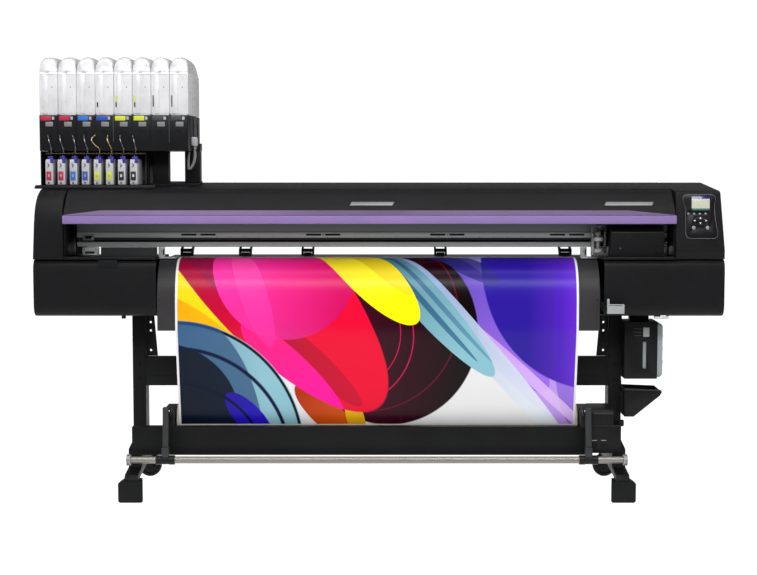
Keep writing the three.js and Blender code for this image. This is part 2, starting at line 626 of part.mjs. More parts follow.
// The web of media from the supply roll, over the platen and the front guide, to the take-up roll.
function addWeb() {
  const lift = 0.5;
  const edge = (offset) => {
    const rise = rearCurve(offset).slice(0, 6).reverse();
    const fall = guideCurve(offset);
    const start = tangentPoint(rise[0], SUPPLY, SUPPLY.media + offset, 1);
    const end = tangentPoint(fall.at(-1), TAKEUP, TAKEUP.media + offset, -1);
    return [start, ...rise, ...fall, end];
  };
  const half = MEDIA.width / 2;
  const outline = [...edge(lift + MEDIA.thick), ...edge(lift).reverse()];
  add("media_web", alongX(outline, MID - half, MID + half), MATERIAL.media);
}

// ---------------------------------------------------------------- ink supply
function inkStation() {
  const seat = (y) => topLine(y) + GAP;
  const { front, rear, left, right, top } = STATION;
  const box = [[front, seat(front)], [rear, seat(rear)], [rear, top], [front, top]];
  const tray = [
    [TRAY.front, TOP_FRONT.z + 0.7], [front + 1, seat(front + 1)], [front + 1, TRAY.floor],
    [TRAY.front + 13, TRAY.floor], [TRAY.front + 9, TRAY.lip], [TRAY.front, TRAY.lip],
  ];
  const sole = [[-40, seat(-40)], [70, seat(70)], [70, seat(70) + 8], [-40, seat(-40) + 8]];
  const post = (x0, x1, y0, y1) => block(x0, x1, y0, y1, seat(y1) + 4, top);
  return joined(
    alongX(box, left, right),
    alongX(tray, TRAY.left, TRAY.right),
    block(left, left + SHEET, -140, front + 1, TRAY.floor - 1, top),
    alongX(sole, right - 1, RACK.bracket),
    post(-934, -870, -40, 20),
    post(-806, -744, -10, 60),
  );
}
function inkCartridge() {
  const { width, front, rear, bottom, top } = CARTRIDGE;
  const body = [
    [front + 4, bottom], [rear, bottom], [rear, top], [front + 6, top], [front, top - 6], [front, bottom + 4],
  ];
  const tubeTop = RACK.bottom - GAP - 3;
  const curve = new THREE.CatmullRomCurve3([
    new THREE.Vector3(2, front + 30, top - 2),
    new THREE.Vector3(5, front + 29, top + 12),
    new THREE.Vector3(0, front + 31, tubeTop - 8),
    new THREE.Vector3(-2, front + 32, tubeTop),
  ]);
  const section = new THREE.Shape().absellipse(0, 0, 3, 3, 0, Math.PI * 2);
  const sweep = { steps: 6, curveSegments: 4, extrudePath: curve, bevelEnabled: false };
  const tube = new THREE.ExtrudeGeometry(section, sweep);
  const plug = block(-8, 11, front + 16, front + 44, top - 1, top + 7);
  return joined(alongX(body, -width / 2, width / 2), plug, tube);
}
function inkRack() {
  const r = RACK;
  const wall = 3;
  const cells = [];
  for (let i = 0; i < INK_COUNT; i++) {
    const x0 = r.left + i * PACK_PITCH + wall / 2;
    const x1 = r.left + (i + 1) * PACK_PITCH - wall / 2;
    cells.push(block(x0, x1, r.front + wall, r.rear - wall, r.floor, r.top + 1));
  }
  return cut(
    joined(
      block(r.left, r.right, r.front, r.rear, r.bottom, r.top),
      block(r.right - 1, r.bracket, -12, 62, r.bottom, r.floor),
    ),
    ...cells,
    block(r.left + 8, r.right - 8, -40, r.rear - 8, r.bottom - 1, r.floor - 6),
  );
}
// A bulk ink pack: a clear case with a sloping shoulder, and the film bag's round head above it.
function inkPack() {
  const { width, depth, height, shoulder } = PACK;
  const half = depth / 2;
  const side = new THREE.Shape();
  side.moveTo(-half, 0);
  side.lineTo(half, 0);
  side.lineTo(half, shoulder - 60);
  side.quadraticCurveTo(half, height, half - 110, height);
  side.lineTo(-half + 60, height);
  side.quadraticCurveTo(-half, height, -half, shoulder);
  return alongX(side, -width / 2, width / 2);
}
function addInk() {
  add("ink_station", inkStation(), MATERIAL.steelBlack);
  add("ink_rack", inkRack(), MATERIAL.steelBlack);
  for (let i = 0; i < INK_COUNT; i++) {
    const cartridge = add(`ink_cartridge_${i + 1}`, inkCartridge(), MATERIAL.cartridge);
    cartridge.position.x = CARTRIDGE.first + i * CARTRIDGE.pitch;
    const pack = add(`ink_pack_${i + 1}`, inkPack(), MATERIAL.pack);
    pack.position.set(RACK.left + (i + 0.5) * PACK_PITCH, (RACK.front + RACK.rear) / 2, RACK.floor + GAP);
  }
}

// ---------------------------------------------------------------- waste bottle and side tray
function addRightSide() {
  const w = WASTE;
  const holder = cut(
    joined(
      block(w.left, w.right, w.front, w.rear, w.bottom, w.top),
      block(1039, 1118, -100, -60, w.top - 1, BODY.bottom - GAP),
    ),
    block(w.left + SHEET, w.right + 5, w.front + SHEET, w.rear - SHEET, w.bottom + SHEET, w.top - SHEET),
    block(1087, 1101, w.front - 5, w.front + 10, 517, 627),
  );
  add("waste_bottle_holder", holder, MATERIAL.coverBlack);

  const bottle = roundedRectangle(w.left + 22, w.bottom + SHEET + 1, 1171, w.top - SHEET - 4, 16);
  add("waste_bottle", alongY(bottle, w.front + SHEET + 3, w.rear - SHEET - 3), MATERIAL.bottle);

  const s = SIDE_TRAY;
  const outside = [
    [s.left, s.bottom], [s.left + 38, s.bottom], [s.right - 8, s.top - 28], [s.right, s.top - 14],
    [s.right - 6, s.top - 6], [s.left, s.top],
  ];
  const inside = [
    [s.left + 4, s.bottom + 5], [s.left + 36, s.bottom + 5], [s.right - 12, s.top - 25],
    [s.right - 9, s.top + 5], [s.left + 4, s.top + 5],
  ];
  const tray = cut(joined(alongY(outside, s.front, s.rear)), alongY(inside, s.front + 3, s.rear - 3));
  add("side_tray", tray, MATERIAL.coverBlack);
}

addStand();
addChassis();
addCovers();
addPanel();
addCarriage();
addPinchAndLever();
addTakeup();
addSupply();
addWeb();
addInk();
addRightSide();

export default machine;
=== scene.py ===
"""Looks for a roll-to-roll printer cutter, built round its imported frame.

Metres, +Z up, the operator stands at -Y. Places come from the frame's nodes where a node gives them, and
the other numbers are metres in the same frame. Each section below makes one sub-assembly: stand, chassis,
covers, panel, carriage, media, take-up, ink supply, right side.
"""

import json
from math import asin, atan2, cos, hypot, pi, radians, sin, sqrt

import bmesh
import bpy
from mathutils import Matrix, Vector


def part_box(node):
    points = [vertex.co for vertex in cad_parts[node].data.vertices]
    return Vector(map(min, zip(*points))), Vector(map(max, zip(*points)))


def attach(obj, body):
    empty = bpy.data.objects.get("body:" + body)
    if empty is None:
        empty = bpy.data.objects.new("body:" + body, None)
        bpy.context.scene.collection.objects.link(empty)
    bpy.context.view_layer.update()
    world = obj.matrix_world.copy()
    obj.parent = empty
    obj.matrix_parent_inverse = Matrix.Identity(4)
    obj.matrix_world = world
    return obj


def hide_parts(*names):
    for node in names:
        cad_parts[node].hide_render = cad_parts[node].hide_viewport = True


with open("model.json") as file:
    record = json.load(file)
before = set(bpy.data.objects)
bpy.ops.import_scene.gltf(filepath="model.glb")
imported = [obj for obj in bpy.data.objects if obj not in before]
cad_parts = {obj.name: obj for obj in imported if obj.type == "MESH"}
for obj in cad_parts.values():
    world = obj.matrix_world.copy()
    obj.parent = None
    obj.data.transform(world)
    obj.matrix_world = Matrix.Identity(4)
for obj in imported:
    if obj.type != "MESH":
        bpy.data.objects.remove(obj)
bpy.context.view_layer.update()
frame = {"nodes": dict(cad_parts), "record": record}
NODES = frame["nodes"]
BODY = {node: body for body, nodes in frame["record"]["behaviour"]["bodies"].items() for node in nodes}
MACHINE = "machine"

# ---------------------------------------------------------------- camera
CAMERA_PLACE = (0.0, -6.4, 1.352)
CAMERA_PITCH = radians(4.58)
CAMERA_LENS = 72.76

# ---------------------------------------------------------------- driving dimensions
MIDDLE = -0.006  # the middle of the media, across the machine
WALL = 0.003  # moulded and folded walls
SUNK = 0.001  # how far a thin plate is let into the surface that it lies on
PRINT_MARGIN = 0.009  # bare media on each side of the print
PRINT_START = -0.035  # where the print starts, along the media from the platen's front edge
PANEL_TILT = atan2(30, 230)
INK_COUNT = 8
INK_COLORS = [
    (0.40, 0.010, 0.05), (0.40, 0.010, 0.05), (0.02, 0.13, 0.50), (0.015, 0.06, 0.38),
    (0.50, 0.56, 0.03), (0.50, 0.56, 0.03), (0.012, 0.012, 0.012), (0.012, 0.012, 0.012),
]


# ---------------------------------------------------------------- materials
class Surface:
    """A Principled material with short calls for the nodes that feed it."""

    def __init__(self, name, color, roughness, metallic=0.0, **sockets):
        self.material = bpy.data.materials.new(name)
        self.material.use_nodes = True
        self.tree = self.material.node_tree
        self.shader = self.tree.nodes["Principled BSDF"]
        self.material.diffuse_color = (*color, 1)
        self.feed(Base_Color=(*color, 1), Roughness=roughness, Metallic=metallic, **sockets)

    def feed(self, **sockets):
        for name, value in sockets.items():
            self.plug(self.shader.inputs[name.replace("_", " ")], value)

    def plug(self, socket, value):
        if isinstance(value, bpy.types.NodeSocket):
            self.tree.links.new(value, socket)
        else:
            socket.default_value = value

    def node(self, kind, inputs=(), output=0, **settings):
        made = self.tree.nodes.new("ShaderNode" + kind)
        for name, value in settings.items():
            setattr(made, name, value)
        for key, value in dict(inputs).items():
            self.plug(made.inputs[key], value)
        return made.outputs[output]

    def place(self, stretch=(1, 1, 1)):
        at = self.node("TexCoord", output=3)
        return self.node("Mapping", {0: at, 3: stretch})

    def noise(self, scale, stretch=(1, 1, 1), detail=3.0):
        return self.node("TexNoise", {"Vector": self.place(stretch), "Scale": scale, "Detail": detail})

    def spread(self, value, low, high):
        return self.node("MapRange", {0: value, 1: 0.3, 2: 0.7, 3: low, 4: high})

    def mix(self, share, a, b, blend="MIX"):
        return self.node("Mix", {0: share, 6: a, 7: b}, output=2, data_type="RGBA", blend_type=blend)

    def maths(self, operation, a, b=0.0):
        return self.node("Math", {0: a, 1: b}, operation=operation)

    def bump(self, height, strength, distance=0.0004):
        return self.node("Bump", {"Strength": strength, "Distance": distance, "Height": height})


def finish(name, color, roughness, metallic=0.0, grain=900, bump=0.12, blotch=6, vary=0.12,
           stretch=(1, 1, 1), rough_vary=0.05, gloss=0.5, **sockets):
    """A surface with a fine grain in its bump and a broad, faint change of colour and gloss."""
    s = Surface(name, color, roughness, metallic, Specular_IOR_Level=gloss, **sockets)
    broad = s.noise(blotch, stretch)
    dark = tuple(c * (1 - vary) for c in color) + (1,)
    light = tuple(min(1, c * (1 + vary)) for c in color) + (1,)
    s.feed(
        Base_Color=s.mix(s.spread(broad, 0, 1), dark, light),
        Roughness=s.spread(s.noise(blotch * 7, stretch), roughness - rough_vary, roughness + rough_vary),
        Normal=s.bump(s.noise(grain, stretch, 4), bump),
    )
    return s.material


def make_materials():
    along_x = (0.02, 1, 1)
    return {
        "steel": finish("powder_coated_steel", (0.0075, 0.0079, 0.0080), 0.45, grain=650, bump=0.3,
                        gloss=0.12),
        "cover": finish("textured_black_plastic", (0.0076, 0.0078, 0.0086), 0.46, grain=1500, bump=0.3,
                        gloss=0.12),
        "satin": finish("satin_black_plastic", (0.0085, 0.0088, 0.0096), 0.36, grain=1200, bump=0.12,
                        gloss=0.15),
        "guide": finish("dark_grey_sheet", (0.034, 0.032, 0.034), 0.4, grain=900, bump=0.12, gloss=0.15),
        "arm": finish("grey_painted_arm", (0.034, 0.035, 0.037), 0.4, grain=900, bump=0.12, gloss=0.2),
        "violet": finish("violet_trim", (0.225, 0.150, 0.355), 0.42, grain=1600, bump=0.06, vary=0.05,
                         gloss=0.2),
        # The chamfer's colour is the violet trim's colour darkened as painted shade, and its broad strong
        # blotches of lighter and darker tone are painted reflection.
        "shaded_violet": finish("violet_chamfer_painted_shade", (0.125, 0.075, 0.170), 0.38, grain=1600, bump=0.06, blotch=1.2,
                       vary=0.3, gloss=0.25),
        "rail": finish("brushed_rail", (0.30, 0.31, 0.32), 0.36, 0.8, grain=2200, bump=0.05, stretch=along_x),
        "rail_panel": finish("grey_rail_panel", (0.135, 0.142, 0.147), 0.45, 0.3, grain=2200, bump=0.05,
                             stretch=along_x),
        "rail_bright": finish("bright_rail", (0.46, 0.475, 0.475), 0.34, 0.45, grain=2200, bump=0.04,
                              stretch=along_x),
        "rail_dark": finish("dark_anodised_rail", (0.06, 0.062, 0.065), 0.42, 0.5, grain=1800, bump=0.06,
                            stretch=along_x),
        "cast": finish("blasted_aluminium", (0.33, 0.34, 0.34), 0.44, 0.6, grain=1300, bump=0.3),
        "rod": finish("drawn_tube", (0.24, 0.225, 0.20), 0.34, 0.55, grain=2500, bump=0.05, stretch=along_x),
        "chrome": finish("bright_screw", (0.6, 0.6, 0.6), 0.2, 1.0, grain=900, bump=0.05),
        "rubber": finish("matt_rubber", (0.009, 0.009, 0.009), 0.75, grain=800, bump=0.35, gloss=0.2),
        "lever": finish("light_grey_lever", (0.33, 0.35, 0.35), 0.42, grain=1300, bump=0.12, vary=0.05),
        "paper": finish("roll_paper", (0.68, 0.64, 0.55), 0.6, grain=1200, bump=0.1, vary=0.04),
        "card": finish("card_core", (0.48, 0.36, 0.22), 0.8, grain=500, bump=0.4),
        "comb": finish("brown_comb", (0.045, 0.032, 0.018), 0.6, grain=500, bump=0.3, gloss=0.2),
        "light_plastic": finish("cartridge_grey", (0.40, 0.40, 0.42), 0.42, grain=1500, bump=0.12, vary=0.05),
        "plug": finish("indigo_plug", (0.022, 0.018, 0.24), 0.4, grain=1200, bump=0.1),
        "label": finish("paper_label", (0.32, 0.33, 0.34), 0.6, grain=700, bump=0.1),
        "dark": finish("dark_mark", (0.006, 0.006, 0.0065), 0.5, grain=1200, bump=0.1, gloss=0.15),
        "white": finish("white_moulding", (0.66, 0.66, 0.66), 0.4, grain=1200, bump=0.08, vary=0.03),
        "case": finish("milky_case", (0.60, 0.60, 0.61), 0.3, grain=60, bump=0.03, blotch=14, vary=0.08,
                       gloss=0.4, Coat_Weight=0.3, Coat_Roughness=0.15),
        # The film's broad strong blotches of darker and lighter grey are painted shade and painted highlight,
        # standing in for the bag's inner shadow and its glints.
        "film": finish("film_bag", (0.56, 0.56, 0.57), 0.25, grain=24, bump=0.08, blotch=22, vary=0.16,
                       gloss=0.45, Coat_Weight=0.4, Coat_Roughness=0.12),
        "bottle": finish("natural_polyethylene", (0.42, 0.45, 0.46), 0.36, grain=400, bump=0.1,
                         Transmission_Weight=0.35),
        "hose": finish("clear_hose", (0.34, 0.35, 0.35), 0.2, grain=900, bump=0.05, Transmission_Weight=0.5),
        "ink_line": finish("clear_ink_tube", (0.055, 0.055, 0.055), 0.12, grain=900, bump=0.05, gloss=0.8,
                           Coat_Weight=1.0, Transmission_Weight=0.25),
        "ink_line_warm": finish("amber_ink_tube", (0.26, 0.19, 0.045), 0.14, grain=900, bump=0.05, gloss=0.8,
                                Coat_Weight=0.8, Transmission_Weight=0.2),
        "panel": finish("panel_bezel", (0.005, 0.005, 0.0065), 0.34, grain=1800, bump=0.03, gloss=0.2),
        "line": finish("grey_print", (0.16, 0.16, 0.155), 0.5, grain=1500, bump=0.03),
        "key": finish("key_cap", (0.22, 0.22, 0.25), 0.4, grain=1500, bump=0.06),
        "badge": finish("satin_badge", (0.20, 0.20, 0.205), 0.4, 0.3, grain=2000, bump=0.05, stretch=along_x),
    }


MATERIALS = {}


def ink_material(i):
    """The colour of one ink, made when it is first asked for."""
    name = f"ink_tab_{i}"
    if name not in MATERIALS:
        MATERIALS[name] = finish(name, INK_COLORS[i], 0.4, grain=1200, bump=0.06, vary=0.06)
    return MATERIALS[name]


# ---------------------------------------------------------------- mesh helpers
def publish(name, bm, material, body=MACHINE, replaces=(), crease=34):
    """Turns a bmesh into an object that rides on a body."""
    bmesh.ops.recalc_face_normals(bm, faces=bm.faces)
    mesh = bpy.data.meshes.new(name)
    bm.to_mesh(mesh)
    bm.free()
    mesh.shade_smooth()
    mesh.set_sharp_from_angle(angle=radians(crease))
    piece = bpy.data.objects.new(name, mesh)
    bpy.context.scene.collection.objects.link(piece)
    mesh.materials.append(MATERIALS[material] if isinstance(material, str) else material)
    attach(piece, body)
    if replaces:
        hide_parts(*replaces)
    return piece


def bevel(bm, width, edges=None, segments=3, angle=28):
    """Rounds the edges that turn by more than an angle."""
    if edges is None:
        edges = [e for e in bm.edges if len(e.link_faces) == 2 and e.calc_face_angle(0) > radians(angle)]
    if edges:
        bmesh.ops.bevel(bm, geom=edges, offset=width, segments=segments, profile=0.5, affect="EDGES",
                        clamp_overlap=True)


def softened(node, material, width=0.0015, segments=2):
    """A copy of a CAD node with its sharp edges rounded, shown in its place."""
    bm = bmesh.new()
    bm.from_mesh(NODES[node].data)
    bmesh.ops.remove_doubles(bm, verts=bm.verts, dist=2e-5)
    bmesh.ops.dissolve_limit(bm, angle_limit=radians(1), verts=bm.verts, edges=bm.edges)
    bevel(bm, width, segments=segments)
    return publish(node + "_shell", bm, material, BODY[node], [node])


def side_name(sign):
    return "right" if sign > 0 else "left"


def slab(front, back):
    """A closed bmesh between two outlines of the same length."""
    bm = bmesh.new()
    first = [bm.verts.new(p) for p in front]
    last = [bm.verts.new(p) for p in back]
    bm.faces.new(first)
    bm.faces.new(last[::-1])
    for i in range(len(first)):
        j = (i + 1) % len(first)
        bm.faces.new([first[j], first[i], last[i], last[j]])
    bmesh.ops.recalc_face_normals(bm, faces=bm.faces)
    return bm


def looped(loops):
    """A bmesh of closed loops of equal length, each joined to the next and the last to the first."""
    bm = bmesh.new()
    rows = [[bm.verts.new(p) for p in loop] for loop in loops]
    count = len(rows[0])
    for a in range(len(rows)):
        one, two = rows[a], rows[(a + 1) % len(rows)]
        for k in range(count):
            n = (k + 1) % count
            bm.faces.new([one[k], one[n], two[n], two[k]])
    return bm


def prism(outline, axis, low, high):
    """A closed bmesh of an outline swept along an axis; its pairs are the other two axes in order."""
    order = {"X": (2, 0, 1), "Y": (0, 2, 1), "Z": (0, 1, 2)}[axis]

    def place(pair, along):
        local = (pair[0], pair[1], along)
        return [local[order[k]] for k in range(3)]

    return slab([place(pair, low) for pair in outline], [place(pair, high) for pair in outline])


def prism_piece(name, outline, axis, low, high, material, body=MACHINE, width=0.001, replaces=(), segments=2):
    bm = prism(outline, axis, low, high)
    bevel(bm, width, segments=segments)
    return publish(name, bm, material, body, replaces)


def brick(name, low, high, material, body=MACHINE, width=0.0015, replaces=(), segments=3):
    """A rounded block between two corners."""
    outline = [(low[0], low[1]), (high[0], low[1]), (high[0], high[1]), (low[0], high[1])]
    return prism_piece(name, outline, "Z", low[2], high[2], material, body, width, replaces, segments)


def inlay(name, front, across, up, material, body=MACHINE, proud=0.0012, width=0.0004, sunk=SUNK):
    """A thin plate let into a surface that faces the front. across and up are its two ends in x and z;
    proud and sunk are how far it stands out of that surface and goes into it."""
    low = (across[0], front - proud, up[0])
    high = (across[1], front + sunk, up[1])
    return brick(name, low, high, material, body, width)


def turned(profile, origin, direction, sides=48):
    """A bmesh of a profile of (distance along, radius) pairs turned round a direction."""
    bm = bmesh.new()
    frame_of = Vector(direction).normalized().to_track_quat("Z", "Y").to_matrix()
    origin = Vector(origin)
    rings = []
    for along, radius in profile:
        if radius < 1e-6:
            rings.append([bm.verts.new(origin + frame_of @ Vector((0, 0, along)))])
            continue
        ring = []
        for k in range(sides):
            turn = 2 * pi * k / sides
            spot = Vector((radius * cos(turn), radius * sin(turn), along))
            ring.append(bm.verts.new(origin + frame_of @ spot))
        rings.append(ring)
    for a, b in zip(rings, rings[1:]):
        for k in range(sides):
            n = (k + 1) % sides
            corners = [a[k % len(a)], a[n % len(a)], b[n % len(b)], b[k % len(b)]]
            unique = list(dict.fromkeys(corners))
            if len(unique) > 2:
                bm.faces.new(unique)
    return bm


def rod_profile(length, radius, chamfer=0.0015):
    chamfer = min(chamfer, radius * 0.4, length * 0.3)
    return [(0, 0), (0, radius - chamfer), (chamfer, radius), (length - chamfer, radius),
            (length, radius - chamfer), (length, 0)]


def rod(name, start, end, radius, material, body=MACHINE, sides=48, chamfer=0.0015, replaces=()):
    start = Vector(start)
    span = Vector(end) - start
    bm = turned(rod_profile(span.length, radius, chamfer), start, span, sides)
    return publish(name, bm, material, body, replaces)


def lathe(name, profile, origin, direction, material, body=MACHINE, sides=48, replaces=()):
    return publish(name, turned(profile, origin, direction, sides), material, body, replaces)


def hollow(name, profile, origin, direction, material, body=MACHINE, sides=48, replaces=()):
    """A turned ring or pipe, whose profile closes on itself."""
    return lathe(name, profile + [profile[0]], origin, direction, material, body, sides, replaces)


def curve_through(padded, samples, weigh):
    """Points of a Catmull-Rom curve between the second and the last but one of its knots."""
    path = []
    for i in range(1, len(padded) - 2):
        for k in range(samples):
            path.append(weigh(*padded[i - 1:i + 3], k / samples))
    return path


def catmull(a, b, c, d, t):
    """The curve between b and c, at a share t of the way."""
    curl = (2 * a - 5 * b + 4 * c - d) * t * t
    return 0.5 * (2 * b + (c - a) * t + curl + (3 * b - a - 3 * c + d) * t ** 3)


def tube(name, points, radius, material, body=MACHINE, sides=10, samples=6):
    """A round tube along a smooth curve through points, closed at both ends."""
    knots = [Vector(p) for p in points]
    padded = [2 * knots[0] - knots[1]] + knots + [2 * knots[-1] - knots[-2]]
    path = curve_through(padded, samples, catmull) + [knots[-1]]
    bm = bmesh.new()
    normal = None
    rings = []
    for i, point in enumerate(path):
        ahead = (path[min(i + 1, len(path) - 1)] - path[max(i - 1, 0)]).normalized()
        if normal is None:
            normal = ahead.orthogonal().normalized()
        normal = (normal - ahead * normal.dot(ahead)).normalized()
        side = ahead.cross(normal)
        ring = []
        for k in range(sides):
            turn = 2 * pi * k / sides
            ring.append(bm.verts.new(point + radius * (cos(turn) * normal + sin(turn) * side)))
        rings.append(ring)
    for a, b in zip(rings, rings[1:]):
        for k in range(sides):
            n = (k + 1) % sides
            bm.faces.new([a[k], a[n], b[n], b[k]])
    bm.faces.new(rings[0][::-1])
    bm.faces.new(rings[-1])
    return publish(name, bm, material, body)


def screw(name, at, direction, radius=0.004, material="dark", body=MACHINE):
    """A low pan head with a round recess."""
    r = radius
    profile = [(-0.001, 0), (-0.001, r), (r * 0.25, r), (r * 0.5, r * 0.75), (r * 0.55, r * 0.42),
               (r * 0.15, r * 0.36), (r * 0.15, 0)]
    return lathe(name, profile, at, direction, material, body, sides=20)


def smooth_path(points, samples=6):
    """A Catmull-Rom curve through 2-D points."""
    padded = [points[0]] + list(points) + [points[-1]]

    def pair(a, b, c, d, t):
        return tuple(catmull(a[j], b[j], c[j], d[j], t) for j in (0, 1))

    return curve_through(padded, samples, pair) + [tuple(points[-1])]


def bezier(p0, p1, p2, p3, count):
    """A cubic curve between two 2-D points, as one point more than count."""
    path = []
    for i in range(count + 1):
        t = i / count
        s = 1 - t
        path.append(tuple(s ** 3 * a + 3 * s * s * t * b + 3 * s * t * t * c + t ** 3 * d
                          for a, b, c, d in zip(p0, p1, p2, p3)))
    return path


def sheet_outline(path, thickness):
    """A closed outline of a path with a thickness on its right-hand side."""
    back = []
    for i, (y, z) in enumerate(path):
        before = path[max(i - 1, 0)]
        after = path[min(i + 1, len(path) - 1)]
        dy, dz = after[0] - before[0], after[1] - before[1]
        size = hypot(dy, dz)
        back.append((y - dz / size * thickness, z + dy / size * thickness))
    return list(path) + back[::-1]


# ---------------------------------------------------------------- stand
def make_stand():
    for side in ("left", "right"):
        leg = f"{side}_leg"
        low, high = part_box(leg)
        softened(leg, "steel", 0.004, 3)
        softened(f"caster_fork_{side}", "steel", 0.0012)
        make_wheel(side)
        middle = (low.x + high.x) / 2
        for z in (0.467, 0.527):
            screw(f"{leg}_bolt_{int(z * 1000)}", (middle, -0.0838, z), (0, -1, 0), 0.0075, "dark")
    softened("cross_beam", "steel", 0.0015)
    low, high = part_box("cross_beam")
    lip = [(low.y - 0.0012, 0.477), (low.y + 0.001, 0.4755), (low.y + 0.001, 0.4815), (low.y - 0.0012, 0.480)]
    prism_piece("cross_beam_fold", lip, "X", low.x, high.x, "steel", width=0.0004)
    softened("lower_beam", "steel", 0.002)


def make_wheel(side):
    """A rubber tyre on a dished hub; a profile's distances are across the wheel."""
    node = f"caster_wheel_{side}"
    low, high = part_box(node)
    center = (low + high) / 2
    radius = (high.z - low.z) / 2
    wide = high.y - low.y
    origin = (center.x, low.y, center.z)
    bore = 0.0068
    tread = [(0.002, radius * 0.74), (0.002, radius - 0.006), (0.008, radius - 0.0005), (wide / 2, radius),
             (wide - 0.008, radius - 0.0005), (wide - 0.002, radius - 0.006), (wide - 0.002, radius * 0.74)]
    hollow(f"{node}_tyre", tread, origin, (0, 1, 0), "rubber", BODY[node], 64, [node])
    near = [(0.005, bore), (0.0, bore + 0.006), (0.0, 0.014), (0.006, 0.018), (0.006, radius * 0.66),
            (0.003, radius * 0.73)]
    far = [(wide - along, reach) for along, reach in near[::-1]]
    hollow(f"{node}_hub", near + far, origin, (0, 1, 0), "satin", BODY[node], 48)


# ---------------------------------------------------------------- chassis
def make_chassis():
    softened("base_frame", "steel", 0.001)
    softened("platen", "rail", 0.0006)
    make_front_guide()
    make_rail()
    make_pinch_rollers()
    make_lever()
    low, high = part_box("feed_roller")
    radius = (high.z - low.z) / 2
    rod("feed_roller_grit", (low.x, (low.y + high.y) / 2, high.z - radius),
        (high.x, (low.y + high.y) / 2, high.z - radius), radius, "cast", BODY["feed_roller"],
        replaces=["feed_roller"])


def make_lever():
    """The clamp lever: a dark arm through the gap beside the guide, with a light grip in front."""
    body = BODY["clamp_lever"]
    low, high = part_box("clamp_lever")
    x, y, z = low.x, -0.200, 0.800
    plate = [(-0.016, -0.010), (0.010, -0.010), (0.016, 0.006), (0.004, 0.014), (-0.104, 0), (-0.116, 0),
             (-0.116, -0.026), (-0.108, -0.026)]
    plate = [(y + dy, z + dz) for dy, dz in plate]
    prism_piece("clamp_lever_arm", plate, "X", x, x + 0.008, "steel", body, 0.0015, ["clamp_lever"])
    rod("clamp_lever_shaft", (x, y, z), (x + 0.066, y, z), 0.008, "steel", body)
    brick("clamp_lever_bar", (x, y - 0.116, z - 0.030), (high.x, y - 0.106, z - 0.012), "steel", body)
    grip = x + 0.020
    front = low.y
    brick("clamp_lever_grip", (grip, front, low.z), (high.x, front + 0.016, z - 0.003), "lever", body, 0.0025)
    brick("clamp_lever_tab", (grip, front, z - 0.008), (grip + 0.009, front + 0.012, high.z), "lever", body,
          0.002)
    for name, ends, up, material in (
            ("slot", (grip + 0.004, high.x - 0.010), (z - 0.0085, z - 0.0065), "dark"),
            ("slit", (grip + 0.012, high.x - 0.016), (z - 0.026, z - 0.0225), "label")):
        inlay("clamp_lever_" + name, front, ends, up, material, body, 0.0006, 0.0003)


def front_curve(count=28, offset=0.0):
    """The front guide's outer line from the platen's edge down to its hem, as (y, z) pairs."""
    low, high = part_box("front_guide")
    curve = bezier((high.y, high.z), (high.y - 0.084, high.z), (low.y, high.z - 0.07), (low.y, 0.780), count)
    path = curve + [(low.y, low.z)]
    if not offset:
        return path
    return sheet_outline(path, -offset)[:len(path) - 1:-1]


def make_front_guide():
    low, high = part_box("front_guide")
    bm = prism(sheet_outline(front_curve(), WALL), "X", low.x, high.x)
    publish("front_guide_sheet", bm, "guide", MACHINE, ["front_guide"], 50)
    rim = sheet_outline(front_curve(offset=-0.0005), 0.016)
    for sign in (-1, 1):
        edge = high.x if sign > 0 else low.x
        near, far = sorted((edge, edge - sign * 0.004))
        prism_piece(f"front_guide_rim_{side_name(sign)}", rim, "X", near, far, "steel", width=0.0005)
        for k in range(5):
            at = (edge - sign * 0.010, low.y, 0.715 + 0.025 * k)
            screw(f"front_guide_rivet_{sign}_{k}", at, (0, -1, 0), 0.0022)


def make_rail():
    softened("y_bar", "rail_dark", 0.001)
    low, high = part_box("y_bar")
    face = low.y
    x0, x1 = low.x + 0.002, high.x - 0.002
    bands = [
        ("rail_top_panel", 1.0790, 1.146, 0.004, "rail_panel"),
        ("rail_upper_strip", 1.0565, 1.0778, 0.008, "rail_bright"),
        ("rail_lower_strip", 1.020, 1.0385, 0.008, "rail_bright"),
    ]
    for name, z0, z1, depth, material in bands:
        brick(name, (x0, face - depth, z0), (x1, face - 0.0002, z1), material, width=0.0012)
    brick("drive_belt", (x0 + 0.02, face + 0.006, 1.0415), (x1 - 0.02, face + 0.009, 1.0455), "rubber",
          width=0.0005)
    for k, x in enumerate((-0.735, -0.226, 0.281, 0.770)):
        for sign in (-1, 1):
            center = x + sign * 0.039
            brick(f"rail_slot_{k}_{side_name(sign)}", (center - 0.031, face - 0.0090, 1.0645),
                  (center + 0.031, face - 0.004, 1.0720), "dark", width=0.0005)
        screw(f"rail_slot_screw_{k}", (x, face - 0.008, 1.0682), (0, -1, 0), 0.003, "chrome")
    first_hole, hole_pitch, hole_z = -0.66, 0.0565, 1.0600
    for k in range(24):
        x = first_hole + hole_pitch * k
        rod(f"rail_hole_{k}", (x, face - 0.0085, hole_z), (x, face - 0.004, hole_z), 0.0017, "dark", sides=12)
    make_belt_bracket(face)
    make_platen_ends()


